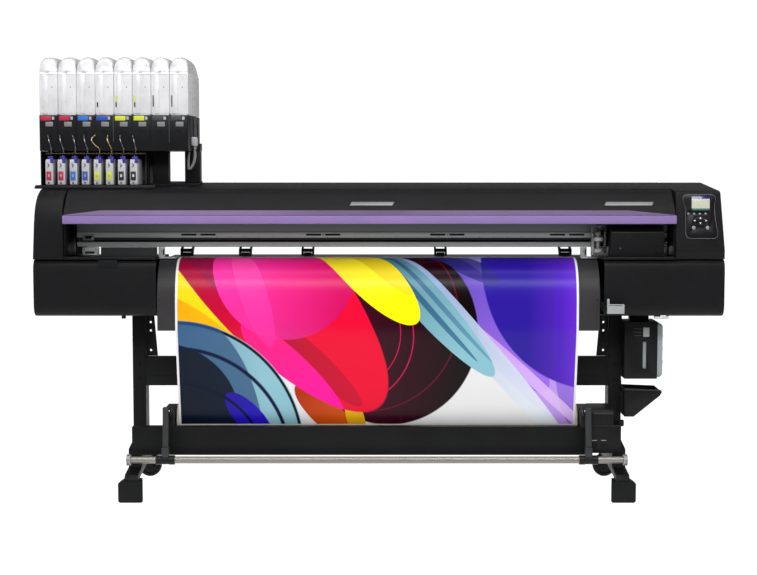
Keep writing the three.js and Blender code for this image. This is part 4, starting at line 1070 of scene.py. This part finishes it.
def print_material(width):
    """A glossy print of overlapping petals and thin rings, inside white margins."""
    s = Surface("printed_vinyl", (0.8, 0.8, 0.8), 0.3, Specular_IOR_Level=0.05, Coat_Weight=0.18,
                Coat_Roughness=0.26)
    uv = s.node("UVMap", uv_map="print")
    masks = {}
    color = (0.76, 0.76, 0.76, 1)

    def share(value, low, high):
        return s.node("MapRange", {0: value, 1: low, 2: high, 3: 0.0, 4: 1.0})

    def petal(center, half, turn, one, two, strength=1.0, span=0.8, ring=0.0, within="", name=""):
        """Lays one ellipse over the colour so far. Metres across and down the web, a turn in degrees, and the
        two colours that it runs between; ring leaves only a rim of that share, and within keeps it inside a
        named one."""
        nonlocal color
        inputs = {0: uv, 1: (*center, 0), 2: (0, 0, radians(turn)), 3: (*half, 1)}
        local = s.node("Mapping", inputs, vector_type="TEXTURE")
        away = s.node("VectorMath", {0: local}, output=1, operation="LENGTH")
        if ring:
            inside = share(s.maths("ABSOLUTE", s.maths("SUBTRACT", away, 1.0)), ring, ring * 0.5)
        else:
            inside = share(away, 1.006, 0.994)
        if within:
            inside = s.maths("MULTIPLY", inside, masks[within])
        if name:
            masks[name] = inside
        along = s.node("SeparateXYZ", {0: local}, output=0)
        fill = s.mix(share(along, -span, span), (*one, 1), (*two, 1))
        color = s.mix(s.maths("MULTIPLY", inside, strength), color, fill)

    # The violet field with its deep blue disc, and the pale crescent under them.
    petal((1.70, -0.04), (1.30, 0.675), 52, (0.20, 0.22, 0.55), (0.50, 0.30, 0.82), span=0.32, name="field")
    petal((1.24, 0.29), (0.42, 0.10), 52, (0.03, 0.02, 0.30), (0.30, 0.12, 0.78), 0.9, 0.7, within="field")
    petal((1.71, 0.085), (0.48, 0.53), 0, (0.022, 0.008, 0.30), (0.24, 0.04, 0.85), span=0.62)
    petal((1.64, 0.36), (0.12, 0.44), 0, (0.07, 0.012, 0.50), (0.30, 0.05, 0.88), 0.5)
    petal((1.10, 0.03), (0.24, 0.055), 35, (0.008, 0.006, 0.05), (0.02, 0.015, 0.20), 0.85, within="field")
    petal((1.47, 0.60), (0.42, 0.022), 44, (0.66, 0.36, 0.86), (0.80, 0.62, 0.90), 0.75)
    # The maroon disc and its crimson rings.
    petal((0.857, 0.373), (0.359, 0.395), 0, (0.060, 0.001, 0.014), (0.004, 0.0003, 0.001), name="disc")
    petal((0.692, 0.373), (0.213, 0.235), 0, (0.60, 0.005, 0.09), (0.50, 0.005, 0.07), ring=0.012,
          within="disc")
    petal((0.692, 0.386), (0.265, 0.292), 0, (0.60, 0.005, 0.09), (0.50, 0.005, 0.07), ring=0.012,
          within="disc")
    petal((0.763, 0.308), (0.375, 0.40), 0, (0.12, 0.002, 0.03), (0.10, 0.002, 0.02), ring=0.010,
          within="disc")
    # The pale and teal slashes across it.
    petal((1.24, 0.44), (0.58, 0.050), 50, (0.26, 0.36, 0.58), (0.74, 0.79, 0.86), 0.92, 0.6)
    petal((1.005, 0.240), (0.42, 0.072), 48.5, (0.05, 0.15, 0.20), (0.24, 0.50, 0.58), span=0.6,
          name="slash")
    petal((0.97, 0.215), (0.37, 0.012), 48.5, (0.003, 0.02, 0.08), (0.04, 0.16, 0.28), 0.9)
    petal((1.05, 0.24), (0.34, 0.010), 48.5, (0.004, 0.03, 0.12), (0.10, 0.26, 0.40), 0.8, within="slash")
    # The yellow corner, the orange strokes at the foot and the great red leaf.
    petal((0.004, 0.216), (0.32, 0.165), 38, (0.90, 0.58, 0.005), (0.90, 0.66, 0.01))
    petal((0.004, 0.330), (0.36, 0.09), 30, (0.74, 0.26, 0.003), (0.90, 0.50, 0.005))
    petal((0.60, 0.715), (0.17, 0.06), 46, (0.42, 0.028, 0.002), (0.66, 0.10, 0.003))
    petal((0.722, 0.74), (0.12, 0.036), 76, (0.85, 0.50, 0.004), (0.60, 0.26, 0.003))
    petal((0.310, 0.072), (0.800, 0.262), 50.7, (0.14, 0.004, 0.040), (0.78, 0.002, 0.032), span=0.45,
          name="leaf")
    petal((0.26, 0.22), (0.36, 0.06), 46, (0.20, 0.006, 0.05), (0.50, 0.008, 0.10), 0.75, within="leaf")
    petal((0.57, 0.505), (0.25, 0.05), 46, (0.42, 0.002, 0.022), (0.52, 0.002, 0.03), 0.85, within="leaf")
    petal((0.475, 0.545), (0.30, 0.075), 47, (0.92, 0.010, 0.22), (0.98, 0.004, 0.34), 0.97, 0.6,
          within="leaf")
    petal((0.443, 0.073), (0.296, 0.326), 0, (0.93, 0.035, 0.36), (0.58, 0.004, 0.12), 0.88, within="leaf")
    petal((0.31, 0.20), (0.24, 0.055), 72, (0.95, 0.09, 0.42), (0.97, 0.03, 0.36), 0.55, within="leaf")
    # The yellow leaf from the top.
    petal((0.757, 0.098), (0.315, 0.098), 47, (0.70, 0.52, 0.03), (0.96, 0.88, 0.003), span=0.6,
          name="lemon")
    petal((0.80, 0.055), (0.22, 0.045), 47, (0.52, 0.34, 0.02), (0.80, 0.62, 0.01), 0.8, within="lemon")
    # The navy arcs of the lower left corner.
    petal((0.004, 0.881), (0.508, 0.56), 0, (0.005, 0.025, 0.14), (0.26, 0.50, 0.58), span=0.7, name="arc")
    petal((0.004, 0.881), (0.500, 0.552), 0, (0.001, 0.003, 0.01), (0.001, 0.006, 0.02), ring=0.016,
          within="arc")
    petal((0.02, 0.90), (0.330, 0.62), 0, (0.022, 0.085, 0.23), (0.015, 0.06, 0.17), 0.8, within="arc")
    petal((-0.067, 0.725), (0.314, 0.313), 0, (0.0005, 0.001, 0.006), (0.002, 0.008, 0.022), within="arc")
    petal((0.004, 0.934), (0.45, 0.496), 0, (0.001, 0.002, 0.012), (0.001, 0.006, 0.05), ring=0.022,
          within="arc")
    petal((0.289, 0.738), (0.14, 0.055), 50, (0.012, 0.006, 0.30), (0.02, 0.006, 0.60), within="arc")
    petal((0.004, 0.99), (0.36, 0.40), 0, (0.0005, 0.001, 0.006), (0.001, 0.002, 0.03), ring=0.020,
          within="arc")

    across = s.node("SeparateXYZ", {0: uv}, output=0)
    down = s.node("SeparateXYZ", {0: uv}, output=1)
    from_middle = s.maths("ABSOLUTE", s.maths("SUBTRACT", across, width / 2))
    edge = width / 2 - PRINT_MARGIN
    inside = share(from_middle, edge + 0.0006, edge - 0.0006)
    printed = s.maths("GREATER_THAN", down, PRINT_START)
    s.feed(
        Base_Color=s.mix(s.maths("MULTIPLY", inside, printed), (0.76, 0.76, 0.77, 1), color),
        Roughness=s.spread(s.noise(18), 0.28, 0.34),
        Normal=s.bump(s.noise(5, (0.6, 1, 1), 1.5), 0.15, 0.003),
    )
    return s.material


# ---------------------------------------------------------------- take-up
def make_takeup():
    softened("takeup_motor", "satin", 0.003, 3)
    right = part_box("takeup_motor")[1].x
    face, shelf = -0.268, 0.290
    # The top rib stands out of the box's face, and its grey is a painted highlight along the box's top edge.
    brick("motor_top_rib_painted_highlight", (0.868, face - 0.0015, 0.346), (0.950, face + 0.004, 0.353), "arm", width=0.0015)
    inlay("motor_seam", face, (0.866, 0.980), (shelf, shelf + 0.002), "dark", proud=0.0008, sunk=0.002)
    inlay("motor_fold", face, (0.866, 0.980), (shelf + 0.007, shelf + 0.009), "arm", sunk=0.002)
    for k, x in enumerate((0.876, 0.913)):
        rod(f"motor_switch_ring_{k}", (x, face - 0.0015, 0.220), (x, face + 0.002, 0.220), 0.0095, "dark")
        rod(f"motor_switch_{k}", (x, face - 0.005, 0.220), (x, face, 0.220), 0.0055, "satin")
        inlay(f"motor_switch_label_{k}", face, (x - 0.010, x + 0.010), (0.2375, 0.2405), "label",
              proud=0.0008, width=0.0002)
    knob = [(0, 0), (0, 0.012), (0.003, 0.014), (0.018, 0.014), (0.021, 0.012), (0.021, 0)]
    lathe("motor_knob", knob, (right - 0.001, -0.200, 0.299), (1, 0, 0), "rubber")
    make_tension_bar()


def make_tension_bar():
    node = "tension_bar"
    body = BODY[node]
    low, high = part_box(node)
    span = high.x - low.x
    y, z, radius = -0.310, 0.167, 0.014
    bore = [(0, radius - 0.002), (0, radius - 0.0006), (0.0006, radius), (span - 0.0006, radius),
            (span, radius - 0.0006), (span, radius - 0.002)]
    hollow("tension_tube", bore, (low.x, y, z), (1, 0, 0), "rod", body, 64, [node])
    ring = [(0, radius), (0, 0.0215), (0.0015, 0.023), (0.0055, 0.023), (0.007, 0.020), (0.009, 0.020),
            (0.0105, 0.023), (0.0145, 0.023), (0.016, 0.0215), (0.016, radius)]
    collar = [(0, radius + 0.0002), (0, 0.0175), (0.002, 0.019), (0.022, 0.019), (0.024, 0.0175),
              (0.052, 0.0175), (0.054, 0.019), (0.074, 0.019), (0.076, 0.0175), (0.076, radius + 0.0002)]
    arm = [(-0.2985, 0.3775), (-0.2735, 0.3775), (-0.2725, 0.340), (-0.2970, 0.1800), (-0.3230, 0.1800),
           (-0.2995, 0.340)]
    for sign in (-1, 1):
        side = side_name(sign)
        x = MIDDLE + sign * 0.852
        end = MIDDLE + sign * 1.000
        hollow(f"tension_end_{side}", ring, (end - 0.008, y, z), (1, 0, 0), "cast", body)
        hollow(f"tension_collar_{side}", collar, (x - 0.038, y, z), (1, 0, 0), "satin", body)
        prism_piece(f"tension_arm_{side}", arm, "X", x - 0.012, x + 0.012, "arm", body, 0.003)
        brick(f"tension_arm_block_{side}", (x - 0.014, -0.3265, 0.180), (x + 0.014, -0.2935, 0.218), "arm",
              body, 0.002)
        near, far = sorted((x, x - sign * 0.024))
        rod(f"tension_pin_{side}", (near, -0.285, 0.362), (far, -0.285, 0.362), 0.006, "chrome", body)


# ---------------------------------------------------------------- ink supply
def make_ink():
    softened("ink_rack", "satin", 0.0008)
    softened("ink_station", "cover", 0.0015)
    for i in range(INK_COUNT):
        make_pack(i)
        make_cartridge(i)
        make_pocket_face(i)
    make_comb_and_tubes()
    make_hose()


def make_pack(i):
    """One bulk pack: a milky case in its pocket, the film bag's head above it, small marks, and a dark dot of
    painted shade where the case has a small hole.
    """
    node = f"ink_pack_{i + 1}"
    body = BODY[node]
    low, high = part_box(node)
    front, rear = low.y, high.y
    seat, shoulder = 1.5545, 1.7275
    half = (high.x - low.x) / 2
    x = (low.x + high.x) / 2
    brick(node + "_base", (low.x + 0.0005, front + 0.0005, low.z),
          (high.x - 0.0005, rear - 0.0005, seat + 0.004), "case", body, 0.004, [node])
    wide = 0.0373
    heel = bezier((rear, shoulder - 0.04), (rear, shoulder - 0.01), (rear - 0.02, shoulder),
                  (rear - 0.04, shoulder), 5)
    case = [(front, seat + 0.002), (rear, seat + 0.002)] + heel
    case += [(front + 0.004, shoulder), (front, shoulder - 0.006)]
    prism_piece(node + "_case", case, "X", x - wide, x + wide, "case", body, 0.0022, segments=3)
    ridge = oval(x - half * 0.42, front - 0.0002, 0.0105, 0.0030, 24)
    prism_piece(node + "_ridge", ridge, "Z", seat + 0.006, shoulder - 0.010, "case", body, 0.0008)
    inlay(node + "_hem", front, (x - wide + 0.004, x + wide - 0.004), (shoulder - 0.010, shoulder - 0.005),
          "white", body, 0.0014, 0.0008)
    spout = (x - half * 0.1, shoulder + 0.006)
    rod(node + "_spout", (spout[0], front - 0.002, spout[1]), (spout[0], front + 0.02, spout[1]), 0.006,
        "white", body, 24)
    make_bag(node, low, high, shoulder, i)
    # A small hole in the case, drawn as a dark dot: painted shade.
    lathe(node + "_hole_shade", [(0, 0), (0, 0.0022), (0.0012, 0.0018), (0.0012, 0)],
          (x + half * 0.42, front - 0.0004, 1.667), (0, -1, 0), "dark", body, 20)
    make_pack_marks(node, i, low.x + 0.004, front, body)


def make_pack_marks(node, i, x, front, body):
    """Dark ticks on the packs from the fourth on, and a yellow flag on the two yellow ones."""
    if i in (3, 4, 5):
        inlay(node + "_mark", front, (x, x + 0.005), (1.586, 1.606), "dark", body)
    if i in (4, 5):
        inlay(node + "_flag", front, (x, x + 0.009), (1.608, 1.632), ink_material(4), body)
    if i in (6, 7):
        inlay(node + "_mark", front, (x, x + 0.004), (1.588, 1.634), "dark", body)


def make_bag(node, low, high, shoulder, i):
    """The film bag's head above the case: a slack pillow with a round crown and soft creases."""
    body = BODY[node]
    half = 0.0371
    x = (low.x + high.x) / 2
    base = shoulder - 0.012
    rise = high.z - base
    rows, columns = 26, 20
    front, rear = low.y + 0.006, high.y - 0.004
    bm = bmesh.new()
    grid = []
    for r in range(rows + 1):
        t = r / rows
        y = front + (rear - front) * t
        row = []
        for c in range(columns + 1):
            u = -1 + 2 * c / columns
            crown = (1 - abs(u) ** 2.6) ** 0.42 if abs(u) < 1 else 0
            front_round = min(1, (t / 0.16)) if t < 0.16 else 1
            swell = sqrt(max(0, 1 - (1 - front_round) ** 2))
            fall = 1 - max(0, (t - 0.70) / 0.30) ** 2.2
            crease = 1 - 0.035 * sin(9 * t + 2.1 * u + i) - 0.02 * sin(23 * u + 5 * t + 2 * i)
            height = rise * (0.30 + 0.70 * crown * (0.62 + 0.38 * swell)) * max(fall, 0.30) * min(crease, 1)
            row.append(bm.verts.new((x + u * half, y, base + height)))
        grid.append(row)
    floor = [[bm.verts.new((v.co.x, v.co.y, base)) for v in row] for row in grid]
    for r in range(rows):
        for c in range(columns):
            bm.faces.new([grid[r][c], grid[r][c + 1], grid[r + 1][c + 1], grid[r + 1][c]])
            bm.faces.new([floor[r][c], floor[r + 1][c], floor[r + 1][c + 1], floor[r][c + 1]])
    for c in range(columns):
        for r in (0, rows):
            bm.faces.new([grid[r][c], grid[r][c + 1], floor[r][c + 1], floor[r][c]])
    for r in range(rows):
        for c in (0, columns):
            bm.faces.new([grid[r][c], grid[r + 1][c], floor[r + 1][c], floor[r][c]])
    bag = publish(node + "_bag", bm, "film", body, crease=70)


def make_pocket_face(i):
    """The front of a rack pocket: colour tab, grey tick, grey label, a thumb notch and a rib beside it."""
    low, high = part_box(f"ink_pack_{i + 1}")
    left = low.x - 0.002
    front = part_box("ink_rack")[0].y
    pitch = high.x - low.x + 0.0056
    color = ink_material(i) if i < 6 else MATERIALS["rail_dark"]
    for name, start, end, up, material, proud, width in (
            ("tab", 0.004, 0.047, (1.532, 1.5505), color, 0.0016, 0.0008),
            ("tick", 0.050, 0.060, (1.535, 1.548), "label", 0.0014, 0.0005),
            ("label", 0.024, 0.055, (1.508, 1.5265), "badge", 0.0012, 0.0005)):
        inlay(f"pocket_{name}_{i + 1}", front, (left + start, left + end), up, material, proud=proud,
              width=width)
    notch = [(left + 0.018, 1.4975), (left + 0.054, 1.4975), (left + 0.036, 1.478)]
    prism_piece(f"pocket_notch_{i + 1}", notch, "Y", front - 0.0008, front + 0.001, "dark", width=0.0004)
    rib = left + pitch
    inlay(f"pocket_rib_{i + 1}", front, (rib - 0.0045, rib - 0.0015), (1.443, 1.5535),
          "rail_dark" if i in (3, 6) else "satin", proud=0.0022, width=0.0006)


def make_cartridge(i):
    """One small cartridge: a grey shell with a colour tab and an arrow, its plug and the tube's spigot."""
    node = f"ink_cartridge_{i + 1}"
    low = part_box(node)[0]
    front, rear = low.y, -0.030
    top, bottom = 1.375, low.z
    x0, x1 = low.x, low.x + 0.030
    outline = [(rear, bottom), (rear, top), (front + 0.010, top), (front + 0.003, top - 0.003),
               (front, top - 0.010), (front, bottom + 0.004), (front + 0.003, bottom)]
    prism_piece(node + "_shell", outline, "X", x0, x1, "light_plastic", MACHINE, 0.0015, [node], 3)
    brick(node + "_side_recess", (x1 - 0.0008, front + 0.020, bottom + 0.014),
          (x1 + 0.0006, rear - 0.020, top - 0.016), "light_plastic", width=0.0003)
    inlay(node + "_tab", front, (x0 + 0.003, x0 + 0.0235), (1.2895, 1.3260), ink_material(i), proud=0.0014,
          width=0.0008)
    inlay(node + "_tab_mark", front, (x0 + 0.010, x0 + 0.0165), (1.303, 1.314), "white" if i > 5 else "label",
          proud=0.0022)
    arrow = [(0.009, 1.360), (0.018, 1.350), (0.009, 1.340), (0.009, 1.345), (0.0135, 1.350), (0.009, 1.355)]
    prism_piece(node + "_arrow", [(x0 + x, z) for x, z in arrow], "Y", front - 0.0012, front + 0.001,
                "rail_dark", width=0.0002)
    lathe(node + "_pin", rod_profile(0.003, 0.0035), (x0 + 0.013, front + 0.0002, 1.2795), (0, -1, 0),
          "rail_dark", sides=20)
    brick(node + "_plug", (x0 + 0.007, front + 0.010, top - 0.001), (x0 + 0.029, front + 0.046, top + 0.012),
          "plug", width=0.002)
    brick(node + "_plug_tail", (x0 + 0.019, front - 0.001, top - 0.016),
          (x0 + 0.031, front + 0.014, top + 0.004), "plug", width=0.002)
    rod(node + "_spigot", (x0 + 0.018, front + 0.026, top + 0.010), (x0 + 0.018, front + 0.026, top + 0.018),
        0.004, "ink_line_warm", sides=20)


def make_comb_and_tubes():
    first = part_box("ink_cartridge_1")[0].x
    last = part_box("ink_cartridge_8")[0].x
    rack_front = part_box("ink_rack")[0].y
    comb_y, comb_z = rack_front - 0.006, 1.398
    rod("tube_comb_bar", (first, comb_y, comb_z), (last + 0.06, comb_y, comb_z), 0.0020, "comb", sides=16)
    first_tooth, tooth_pitch = first + 0.012, 0.0162
    for k in range(24):
        x = first_tooth + tooth_pitch * k
        brick(f"tube_comb_tooth_{k}", (x - 0.0012, comb_y - 0.003, comb_z - 0.004),
              (x + 0.0012, comb_y + 0.003, comb_z + 0.004), "comb", width=0.0003)
    for i in range(INK_COUNT):
        make_ink_tube(i, rack_front)
    for name, x, material in (("upright", -0.966, "rail_dark"), ("upright_inner", -0.956, "satin")):
        brick("station_rail_" + name, (x, -0.050, 1.272), (x + 0.006, -0.030, 1.404), material, width=0.001)


def make_ink_tube(i, rack_front):
    """One ink tube from its cartridge's plug up to the rack, with its grommet and clip."""
    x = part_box(f"ink_cartridge_{i + 1}")[0].x + 0.018
    slack = {4: 0.016, 5: 0.005}.get(i, 0.003 * sin(2.3 * i))
    out = rack_front - 0.006
    entry, height = x - 0.009, 1.474
    points = [(x, -0.139, 1.386), (x + 0.003, -0.150, 1.398), (x + 0.005, out, 1.416),
              (x + 0.002 - slack, out - 0.006, 1.434), (x - 0.004 - 1.4 * slack, out - 0.004, 1.454),
              (x - 0.008 - 0.6 * slack, out + 0.002, 1.469), (entry, rack_front + 0.004, height)]
    tube(f"ink_tube_{i + 1}", points, 0.0022, "ink_line_warm" if i in (4, 5) else "ink_line")
    grommet = [(0.003, 0.0026), (-0.0012, 0.0026), (-0.0012, 0.0048), (0.003, 0.0055)]
    hollow(f"ink_grommet_{i + 1}", grommet, (entry, rack_front, height), (0, 1, 0), "rubber", sides=24)
    clip_x = x + 0.005
    brick(f"ink_tube_clip_{i + 1}", (clip_x - 0.004, rack_front - 0.0105, 1.411),
          (clip_x + 0.004, rack_front - 0.0003, 1.419), "rail_dark", width=0.0015)


def make_hose():
    """The pressure hose and its union on the rack's right side."""
    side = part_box("ink_rack")[1].x - 0.031
    x, y = side + 0.014, -0.060
    brick("hose_union", (side + 0.002, y - 0.015, 1.430), (side + 0.026, y + 0.015, 1.466), "light_plastic",
          width=0.004)
    rod("hose_union_neck", (x, y, 1.464), (x, y, 1.552), 0.006, "rail_dark")
    rod("hose_union_nut", (x, y, 1.415), (x, y, 1.432), 0.009, "rail", sides=12)
    points = [(x, y, 1.418), (side + 0.016, -0.062, 1.392), (side + 0.010, -0.064, 1.360),
              (side - 0.004, -0.062, 1.336), (side - 0.012, -0.052, 1.342), (side - 0.014, -0.040, 1.372),
              (side - 0.012, -0.030, 1.405)]
    tube("rack_hose", points, 0.0055, "hose", sides=16)
    for k in range(3):
        y = 0.02 + 0.07 * k
        brick(f"rack_side_slat_{k}", (side + 0.0004, y, 1.444), (side + 0.004, y + 0.01, 1.552), "rail_dark",
              width=0.0006)


# ---------------------------------------------------------------- waste bottle and side tray
def make_right_side():
    softened("waste_bottle_holder", "satin", 0.0012)
    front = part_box("waste_bottle_holder")[0].y
    inlay("waste_label", front, (1.0875, 1.1125), (0.6485, 0.6865), "label", width=0.0005)
    for k in range(3):
        z = 0.652 + 0.014 * k
        inlay(f"waste_scale_{k}", front, (1.050, 1.083), (z, z + 0.0022), "rail_dark", proud=0.0008,
              width=0.0003)
    make_bottle()
    softened("side_tray", "satin", 0.0012)
    low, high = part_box("side_tray")
    top, right = high.z, high.x
    rim = [(low.x, top + 0.0025), (right - 0.005, top - 0.0035), (right + 0.001, top - 0.013),
           (right - 0.003, top - 0.0155), (right - 0.009, top - 0.0085), (low.x, top - 0.0035)]
    prism_piece("side_tray_rim", rim, "Y", low.y - 0.0022, low.y + 0.0032, "arm", width=0.0012)
    brick("side_tray_hook", (1.0125, -0.050, top - 0.010), (1.0165, -0.020, top + 0.022), "steel",
          width=0.001)


def make_bottle():
    """The waste bottle: a box with round edges and three grip ribs on its outer side."""
    node = "waste_bottle"
    body = BODY[node]
    low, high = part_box(node)
    corner = 0.016
    outline = []
    for cx, cz, start in ((low.x + corner, low.z + corner, pi), (high.x - corner, low.z + corner, -pi / 2),
                          (high.x - corner, high.z - corner, 0), (low.x + corner, high.z - corner, pi / 2)):
        for k in range(6):
            turn = start + (pi / 2) * k / 5
            outline.append((cx + corner * cos(turn), cz + corner * sin(turn)))
    bm = prism(outline, "Y", low.y, high.y)
    bevel(bm, 0.010, segments=4, angle=40)
    publish(node + "_body", bm, "bottle", body, [node])
    for k, z in enumerate((0.535, 0.590, 0.645)):
        brick(f"waste_bottle_rib_{k}", (high.x - 0.010, low.y + 0.010, z),
              (high.x + 0.0025, high.y - 0.010, z + 0.012), "bottle", body, 0.004)


# ---------------------------------------------------------------- stage, light and camera
def make_stage():
    bm = bmesh.new()
    reach, front = 40.0, -2.3
    spots = ((-reach, front, 0), (reach, front, 0), (reach, reach, 0), (-reach, reach, 0))
    bm.faces.new([bm.verts.new(p) for p in spots])
    mesh = bpy.data.meshes.new("studio_floor")
    bm.to_mesh(mesh)
    bm.free()
    floor = bpy.data.objects.new("studio_floor", mesh)
    bpy.context.scene.collection.objects.link(floor)
    paint = finish("studio_floor_paint", (0.30, 0.30, 0.30), 0.8, grain=40, bump=0.02, vary=0.01,
                   Emission_Color=(1, 1, 1, 1), Emission_Strength=0.98)
    mesh.materials.append(paint)


def area_light(name, place, target, size, watts):
    data = bpy.data.lights.new(name, "AREA")
    data.shape = "RECTANGLE"
    data.size, data.size_y = size
    data.energy = watts
    lamp = bpy.data.objects.new(name, data)
    lamp.location = place
    lamp.rotation_euler = (Vector(target) - Vector(place)).to_track_quat("-Z", "Y").to_euler()
    bpy.context.scene.collection.objects.link(lamp)


def make_light():
    """A dim white world that the camera sees as white, and four soft boxes."""
    world = bpy.data.worlds.new("studio")
    bpy.context.scene.world = world
    world.use_nodes = True
    tree = world.node_tree
    lighting = tree.nodes["Background"]
    seen = tree.nodes.new("ShaderNodeBackground")
    for backdrop, strength in ((lighting, 0.22), (seen, 1.05)):
        backdrop.inputs["Color"].default_value = (1, 1, 1, 1)
        backdrop.inputs["Strength"].default_value = strength
    path = tree.nodes.new("ShaderNodeLightPath")
    mix = tree.nodes.new("ShaderNodeMixShader")
    tree.links.new(path.outputs["Is Camera Ray"], mix.inputs[0])
    tree.links.new(lighting.outputs[0], mix.inputs[1])
    tree.links.new(seen.outputs[0], mix.inputs[2])
    tree.links.new(mix.outputs[0], tree.nodes["World Output"].inputs[0])
    area_light("overhead_softbox", (0, -0.9, 3.6), (0, -0.1, 0.8), (5.0, 1.3), 70)
    area_light("front_softbox", (0, -4.0, 3.7), (0, -0.2, 0.9), (5.0, 1.0), 165)
    for sign in (-1, 1):
        area_light(f"{side_name(sign)}_softbox", (sign * 4.2, -2.4, 2.4), (0, 0, 0.9), (1.2, 2.6), 20)


def make_camera():
    data = bpy.data.cameras.new("camera")
    data.lens = CAMERA_LENS
    data.sensor_width = 36.0
    camera = bpy.data.objects.new("camera", data)
    camera.location = CAMERA_PLACE
    camera.rotation_euler = (pi / 2 - CAMERA_PITCH, 0, 0)
    bpy.context.scene.collection.objects.link(camera)
    bpy.context.scene.camera = camera


make_camera()
MATERIALS.update(make_materials())
make_stage()
make_light()
bpy.context.scene.view_settings.view_transform = "Standard"
make_stand()
make_chassis()
make_covers()
make_panel()
make_carriage()
make_media()
make_takeup()
make_ink()
make_right_side()
